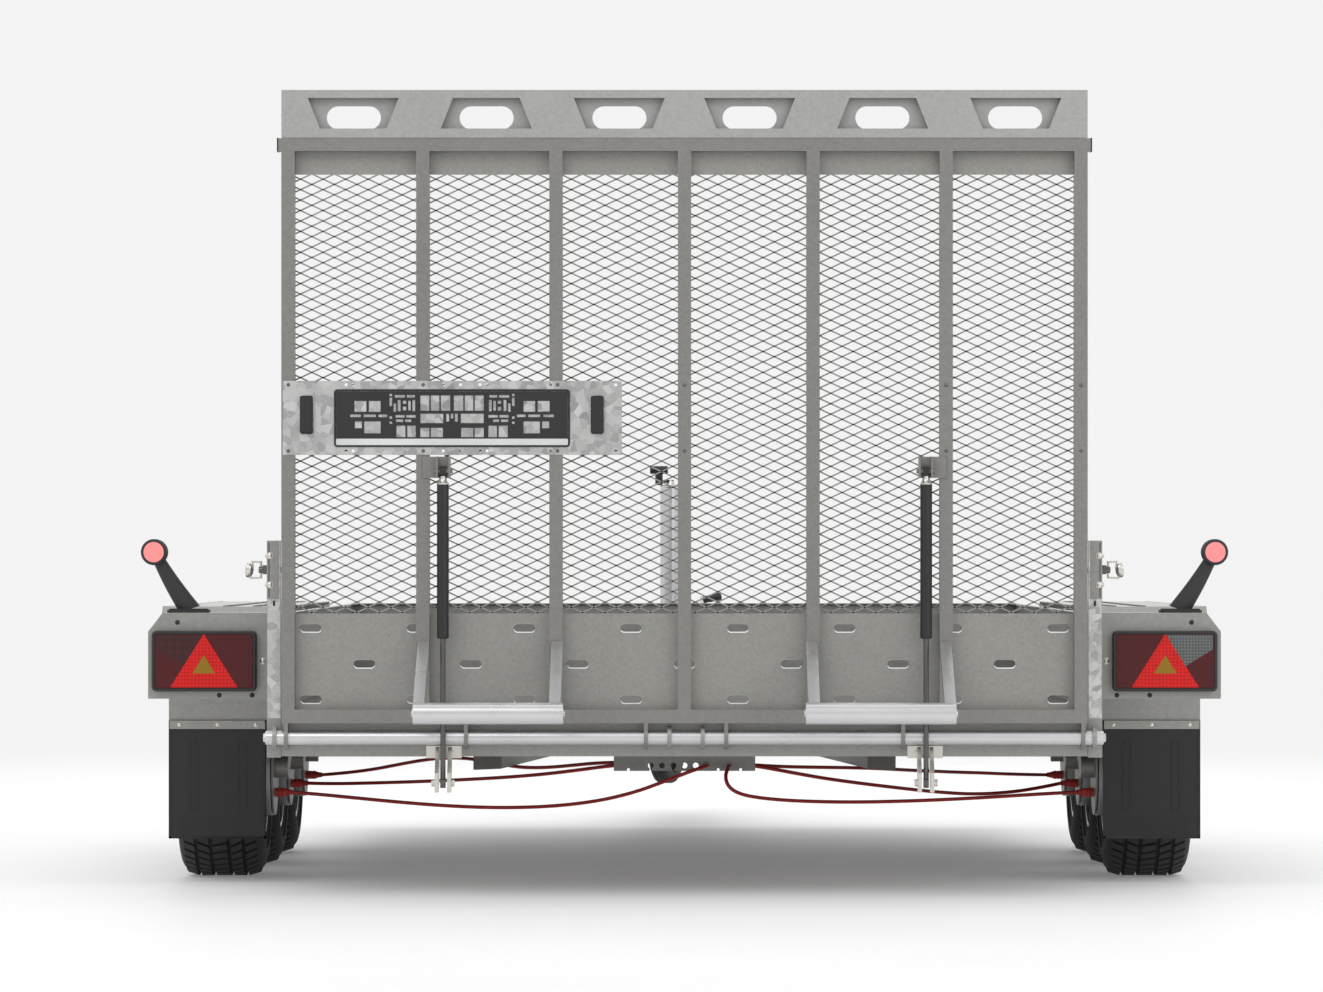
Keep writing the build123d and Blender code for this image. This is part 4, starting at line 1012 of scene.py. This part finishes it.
def tyre(axle, y, name, side):
    """Carcass with rounded shoulders, bead and sidewall rings; the tread blocks are a pattern of their own"""
    node = "tyre_" + axle + "_" + name
    body = "road_wheel_" + axle + "_" + name
    centre = spot(side * WHEEL_X, y, TYRE_R)
    half = [(0, 255), (18, 255), (19.5, 252.5), (24, 252.5), (25.5, 255), (54, 254), (55.5, 251.5),
            (60, 251.2),
            (61.5, 253), (78, 251), (90, 246), (96, 238), (98.5, 232), (97.5, 231), (101, 222), (102.4, 210),
            (101, 198), (98.4, 197), (97.4, 190), (94, 180), (92, 178), (89, 170), (86, 165.5), (77, 165.2)]
    inner = [(-76, 168), (-92, 200), (-88, 235), (-70, 246), (70, 246), (88, 235), (92, 200), (76, 168)]
    profile = [(-a, r) for a, r in reversed(half[1:])] + half + list(reversed(inner))
    mesh = bmesh.new()
    lathe(mesh, profile, centre, (1, 0, 0), 72, closed=True)
    carried(node + "_carcass", mesh, (TYRE_RUBBER,), body, "tyre_rubber", node)

    row = bmesh.new()
    for x0, x1, lean in ((-17, 17, 5), (26.5, 53, 8), (-53, -26.5, 8), (62, 88, 4), (-88, -62, 4)):
        skew = lean if x0 + x1 >= 0 else -lean
        outline = [(x0, -10.5 - skew), (x1, -10.5 + skew), (x1, 10.5 + skew), (x0, 10.5 - skew)]
        drop = 0 if abs(x0 + x1) < 100 else 3.2
        near = [row.verts.new((a * MM, b * MM, (TYRE_R - 12) * MM)) for a, b in outline]
        far = []
        for a, b in outline:
            fall = drop * (abs(a) - 62) / 26 * 2.4 if drop else 0.0
            far.append(row.verts.new((a * 0.985 * MM, b * 0.94 * MM, (TYRE_R - 0.6 - max(0.0, fall)) * MM)))
        row.faces.new(far)
        row.faces.new(list(reversed(near)))
        bridge(row, far, near)
    outward(row)
    source = source_object(node + "_row", row)
    pattern = Pattern(node + "_tread")
    count = pattern.size("Rows Round Tyre", TREAD_ROWS)
    turn = pattern.size("Turn Per Row", 2 * math.pi / TREAD_ROWS)
    line = pattern.node("GeometryNodeMeshLine", {},
                        {"Count": count, "Offset": (0, 0, 0), "Start Location": centre})
    angle = pattern.math("MULTIPLY", pattern.node("GeometryNodeInputIndex"), turn)
    one = pattern.node("GeometryNodeObjectInfo", {}, {"Object": source}, 4)
    spin = pattern.node("FunctionNodeEulerToRotation", {}, {0: pattern.vector(angle)})
    blocks = pattern.node("GeometryNodeInstanceOnPoints", {},
                          {"Points": line, "Instance": one, "Rotation": spin})
    mesh = pattern.bake(blocks, TYRE_RUBBER)
    bpy.data.objects.remove(source)
    tread = new_piece(node + "_tread", mesh, TYRE_RUBBER)
    on_body(tread, body, "tyre_rubber")


def wheel_valve(axle, y, name, side):
    """Rim hump rings, valve stem and a dished disc face in front of the plain rim"""
    node = "wheel_" + axle + "_" + name
    body = "road_wheel_" + axle + "_" + name
    centre = spot(side * WHEEL_X, y, TYRE_R)
    mesh = bmesh.new()
    lathe(mesh, [(26.5, 36), (30, 60), (28, 72), (34, 84), (40, 100), (44, 118), (40, 132), (30, 146),
                 (24, 160.8),
                 (21, 160.8), (26.5, 146), (36, 131), (40, 118), (36, 101), (30, 85), (26.4, 72)],
          centre, (side, 0, 0), 60, closed=True)
    valve = spot(side * 1145, y + 138 * math.cos(0.4), TYRE_R + 138 * math.sin(0.4))
    lathe(mesh, [(-12, 0), (-12, 4.5), (10, 4.0), (24, 3.0), (30, 3.0), (31, 0)], valve, (side, 0, 0), 14, 1)
    carried(node + "_disc", mesh, (SILVER_PAINT, BLACK_PLASTIC), body, "silver_wheel")


# ------------------------------------------------------------------ chassis details
def drawbar_end_plates():
    """Slanted closing plates on the rear ends of the drawbar arms"""
    mesh = bmesh.new()
    for side in (-1, 1):
        outline = [(side * 501, 806), (side * 503, 810), (side * 441, 893), (side * 438, 890)]
        slab(mesh, outline, "Z", 260.5, 344.5)
        gusset = [(side * 503, 316), (side * 503, 345), (side * 520, 345), (side * 520, 318)]
        slab(mesh, gusset, "Y", 812, 850)
    carried("drawbar_end_plates", mesh, (STEEL,), "chassis", "galvanised_steel")


def rear_post_details():
    """Folded returns, slot and weld seams on the rear posts"""
    bright = bmesh.new()
    dark = bmesh.new()
    for side in (-1, 1):
        for mesh, x0, x1, y, z0, z1 in (
                (bright, 914, 943.5, 49.2, 402, 668), (bright, 914, 917, 48.6, 672, 803),
                (dark, 939.2, 941, 49.3, 676, 799), (dark, 926, 931, 48.9, 656, 670),
                (bright, 912, 945, 48.4, 668, 672)):
            low, high = span(side, x0, x1)
            block(mesh, (low, y, z0), (high, 50, z1))
    carried("rear_post_faces", bright, (CARRIER_SHEET,), "chassis", "galvanised_sheet")
    carried("rear_post_slots", dark, (WINDOW_DARK,), "chassis", "black_plastic")


def wire(mesh, path, radius, steps=10):
    """Round bar through a list of points in millimetres, with mitred bends"""
    spots = [spot(*point) for point in path]
    rings = []
    for index, middle in enumerate(spots):
        before = (middle - spots[index - 1]).normalized() if index else (spots[1] - middle).normalized()
        after = (spots[index + 1] - middle).normalized() if index < len(spots) - 1 else before
        rings.append((middle, (before + after).normalized()))
    up = Vector((0, 1, 0))
    made = []
    for middle, along in rings:
        side = along.cross(up).normalized()
        ring = []
        for step in range(steps):
            turn = 2 * math.pi * step / steps
            offset = side * math.cos(turn) + along.cross(side) * math.sin(turn)
            ring.append(mesh.verts.new(middle + offset * radius * MM))
        made.append(ring)
    loft(mesh, made)
    mesh.faces.new(made[0])
    mesh.faces.new(made[-1])


def ramp_latch(name, side):
    """Spring pin with hexagon guide, wire bail and waisted grip"""
    mesh = bmesh.new()
    y, z = LATCH_Y, LATCH_Z
    lathe(mesh, [(0, 0), (0, 7), (30, 7), (30, 0)], spot(side * 912, y, z), (side, 0, 0), 20)
    lathe(mesh, [(0, 0), (0, 12), (9, 12), (10, 11), (10, 0)], spot(side * 946, y, z), (side, 0, 0), 6, 1)
    lathe(mesh, [(0, 7.5), (10, 7.5), (10.5, 5), (10.5, 0), (0, 0)], spot(side * 955, y, z), (side, 0, 0),
          20, 1)
    bail = [(side * 958, y, z - 16), (side * 966, y, z - 18), (side * 984, y, z - 18.5),
            (side * 988, y, z - 15),
            (side * 988.5, y, z), (side * 988, y, z + 15), (side * 984, y, z + 18.5), (side * 966, y, z + 18),
            (side * 958, y, z + 16)]
    wire(mesh, bail, 2.4)
    wire(mesh, [(side * 960, y, z - 20), (side * 960, y, z), (side * 960, y, z + 20)], 2.4)
    grip = [(0, 0), (0, 12), (2.5, 17), (6, 18.6), (9, 19.4), (12, 18.8), (14, 16), (15, 11), (15, 0)]
    lathe(mesh, grip, spot(side * 978.6, y, z), (side, 0.10, 0.16), 32)
    carried("ramp_latch_grip_" + name, mesh, (ZINC, DARK_ROD),
            "ramp_latch_" + name, "zinc_hardware", "ramp_latch_" + name)


def cable_boots():
    """Ribbed rubber boots on the brake cables"""
    mesh = bmesh.new()
    for side in (-1, 1):
        for _, y in AXLES:
            profile = [(0, 4.6), (0, 6), (3, 6.6), (5, 6), (8, 7.6), (10, 7), (13, 9.2), (15, 8.6),
                       (18, 10.8),
                       (24, 11), (25, 10), (27, 10), (28, 11), (33, 11), (34, 10), (36, 10), (37, 11),
                       (40.4, 11),
                       (40.4, 4.6)]
            lathe(mesh, profile, spot(side * POST_X, y, CABLE_Z), (side, 0, 0), 28, closed=True)
    carried("cable_boot_rubbers", mesh, (BOOT_RED,), "chassis", "red_rubber", "cable_boots")


def gaiter():
    """Rubber bellows of the draw tube"""
    profile = [(0, 26), (0, 41), (7, 41), (8, 37)]
    folds, pitch = 8, 14.4
    for index in range(folds):
        start = 8 + index * pitch
        for share, radius in ((0.18, 33.5), (0.34, 38.5), (0.5, 42.6), (0.62, 42.6), (0.8, 37.5),
                              (1.0, 33.0)):
            profile.append((start + pitch * share, radius))
    profile += [(124, 36), (125, 39), (131.5, 39), (131.5, 26)]
    mesh = bmesh.new()
    lathe(mesh, profile, spot(0, 4902, DRAWTUBE_Z), (0, 1, 0), 56, closed=True)
    piece = new_piece("drawtube_bellows", mesh, RUBBER, recalc=True)
    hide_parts("drawtube_gaiter")
    tuple(spot(0, 4908, DRAWTUBE_Z))
    tuple(spot(0, 5028, DRAWTUBE_Z))
    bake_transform(piece)


def jockey_tyre():
    """Ribbed solid tyre with a plastic centre, turned a little about its swivel"""
    yaw = math.radians(-18)
    axle = Vector((math.cos(yaw), math.sin(yaw), 0))
    behind = Vector((math.sin(yaw), -math.cos(yaw), 0)) * 40
    centre = spot(JOCKEY_X + behind.x, JOCKEY_Y + behind.y, 215)
    mesh = bmesh.new()
    tread = [(-26, 68), (-26, 90), (-22, 97), (-15, 100), (-13, 100), (-12, 97.5), (-9, 97.5), (-8, 100),
             (-2, 100),
             (-1.5, 97.5), (1.5, 97.5), (2, 100), (8, 100), (9, 97.5), (12, 97.5), (13, 100), (15, 100),
             (22, 97),
             (26, 90), (26, 68)]
    lathe(mesh, tread, centre, axle, 56, 0, closed=True)
    disc = [(-22, 8.1), (-22, 20), (-10, 24), (-6, 40), (-10, 58), (-20, 62), (-20, 68), (20, 68), (20, 62),
            (10, 58), (6, 40), (10, 24), (22, 20), (22, 8.1)]
    lathe(mesh, disc, centre, axle, 56, 1, closed=True)
    carried("jockey_wheel_tyre", mesh, (RUBBER, BLACK_PLASTIC),
            "jockey_wheel", "black_rubber", "jockey_wheel")


def gas_spring_seals():
    """Seal collars at the rod end of the gas springs and their end fittings"""
    for name, side in SIDES:
        mesh = bmesh.new()
        x = side * SPRING_X
        lathe(mesh, [(0, 6.3), (0, 11), (2, 13.2), (9, 13.6), (9.6, 6.3)], spot(x, SPRING_Y, 583),
              (0, 0, 1), 32,
              closed=True)
        lathe(mesh, [(0, 6), (0, 13.5), (3, 13.6), (7, 10), (13, 8.5), (19, 8.5), (19, 6)],
              spot(x, SPRING_Y, 930),
              (0, 0, 1), 32, 1, closed=True)
        carried("gas_spring_seal_" + name, mesh, (ENAMEL, ZINC),
                "gas_spring_cylinder_" + name, "black_enamel")


def jockey_crank_handle():
    """Zinc cap with a cranked black arm and cross grip"""
    x, y = JOCKEY_X, JOCKEY_Y
    mesh = bmesh.new()
    lathe(mesh, [(0, 0), (0, 30.5), (2, 31), (5.5, 31), (7.5, 28), (8, 12), (22, 9), (22, 0)],
          spot(x, y, 969), (0, 0, 1), 40, 0)
    slab(mesh, rounded(x - 42, x + 9, y - 9, y + 9, 8), "Z", 984, 992, 1)
    lathe(mesh, [(0, 0), (0, 10), (2, 11), (32, 11), (34, 8), (34, 0)], spot(x - 34, y, 977), (0, 0, 1), 28,
          1)
    grip = [(0, 0), (0, 9), (2, 11.4), (8, 12), (12, 11), (16, 12), (26, 11.2), (36, 12), (40, 11), (44, 12),
            (50, 11.4), (52, 9), (52, 0)]
    lathe(mesh, grip, spot(x - 60, y, 1021), (1, 0, 0), 32, 1)
    carried("jockey_crank_handle", mesh, (ZINC, BLACK_PLASTIC),
            "jockey_crank", "black_plastic", "jockey_crank")


def handbrake():
    """Plated lever with a moulded tapered grip set across its end"""
    y, z = 4460, 448
    mesh = bmesh.new()
    slab(mesh, [(y - 12, z), (y + 12, z), (y + 128, 628), (y + 128, 652), (y + 108, 652), (y + 106, 634)],
         "X", 46.5, 54.5, 0)
    lathe(mesh, [(0, 0), (0, 16), (1, 16.5), (11, 16.5), (12, 14), (12, 0)], spot(44.5, y, z), (1, 0, 0),
          32, 0)
    lathe(mesh, [(0, 0), (0, 5.9), (7, 5.9), (7, 0)], spot(38.5, y, z), (1, 0, 0), 20, 0)
    profile = [(0, 0), (0, 8), (2, 10.5), (6, 11), (14, 10.4), (24, 11.6), (34, 11.2), (44, 12.6), (52, 12.8),
               (56, 11), (57.5, 0)]
    lathe(mesh, profile, spot(54.5, y + 117, 641), (1, 0, 0.22), 32, 1)
    carried("handbrake_lever_and_grip", mesh, (ZINC, BLACK_PLASTIC),
            "handbrake_lever", "zinc_hardware", "handbrake_lever")


# ------------------------------------------------------------------ putting it together
finish_cad_nodes()
set_camera()
studio()
brake_cables()
expanded_mesh()
slot_collars()
bolt_heads()
number_plate_holder()
plate_lamps()
fender_strips()
drawbar_end_plates()
rear_post_details()
cable_boots()
gaiter()
jockey_tyre()
gas_spring_seals()
jockey_crank_handle()
handbrake()
for side_name, side_sign in SIDES:
    tail_lamp(side_name, side_sign)
    marker_lamp(side_name, side_sign)
    mudflap(side_name, side_sign)
    ramp_latch(side_name, side_sign)
    for axle_name, axle_y in AXLES:
        tyre(axle_name, axle_y, side_name, side_sign)
        wheel_valve(axle_name, axle_y, side_name, side_sign)
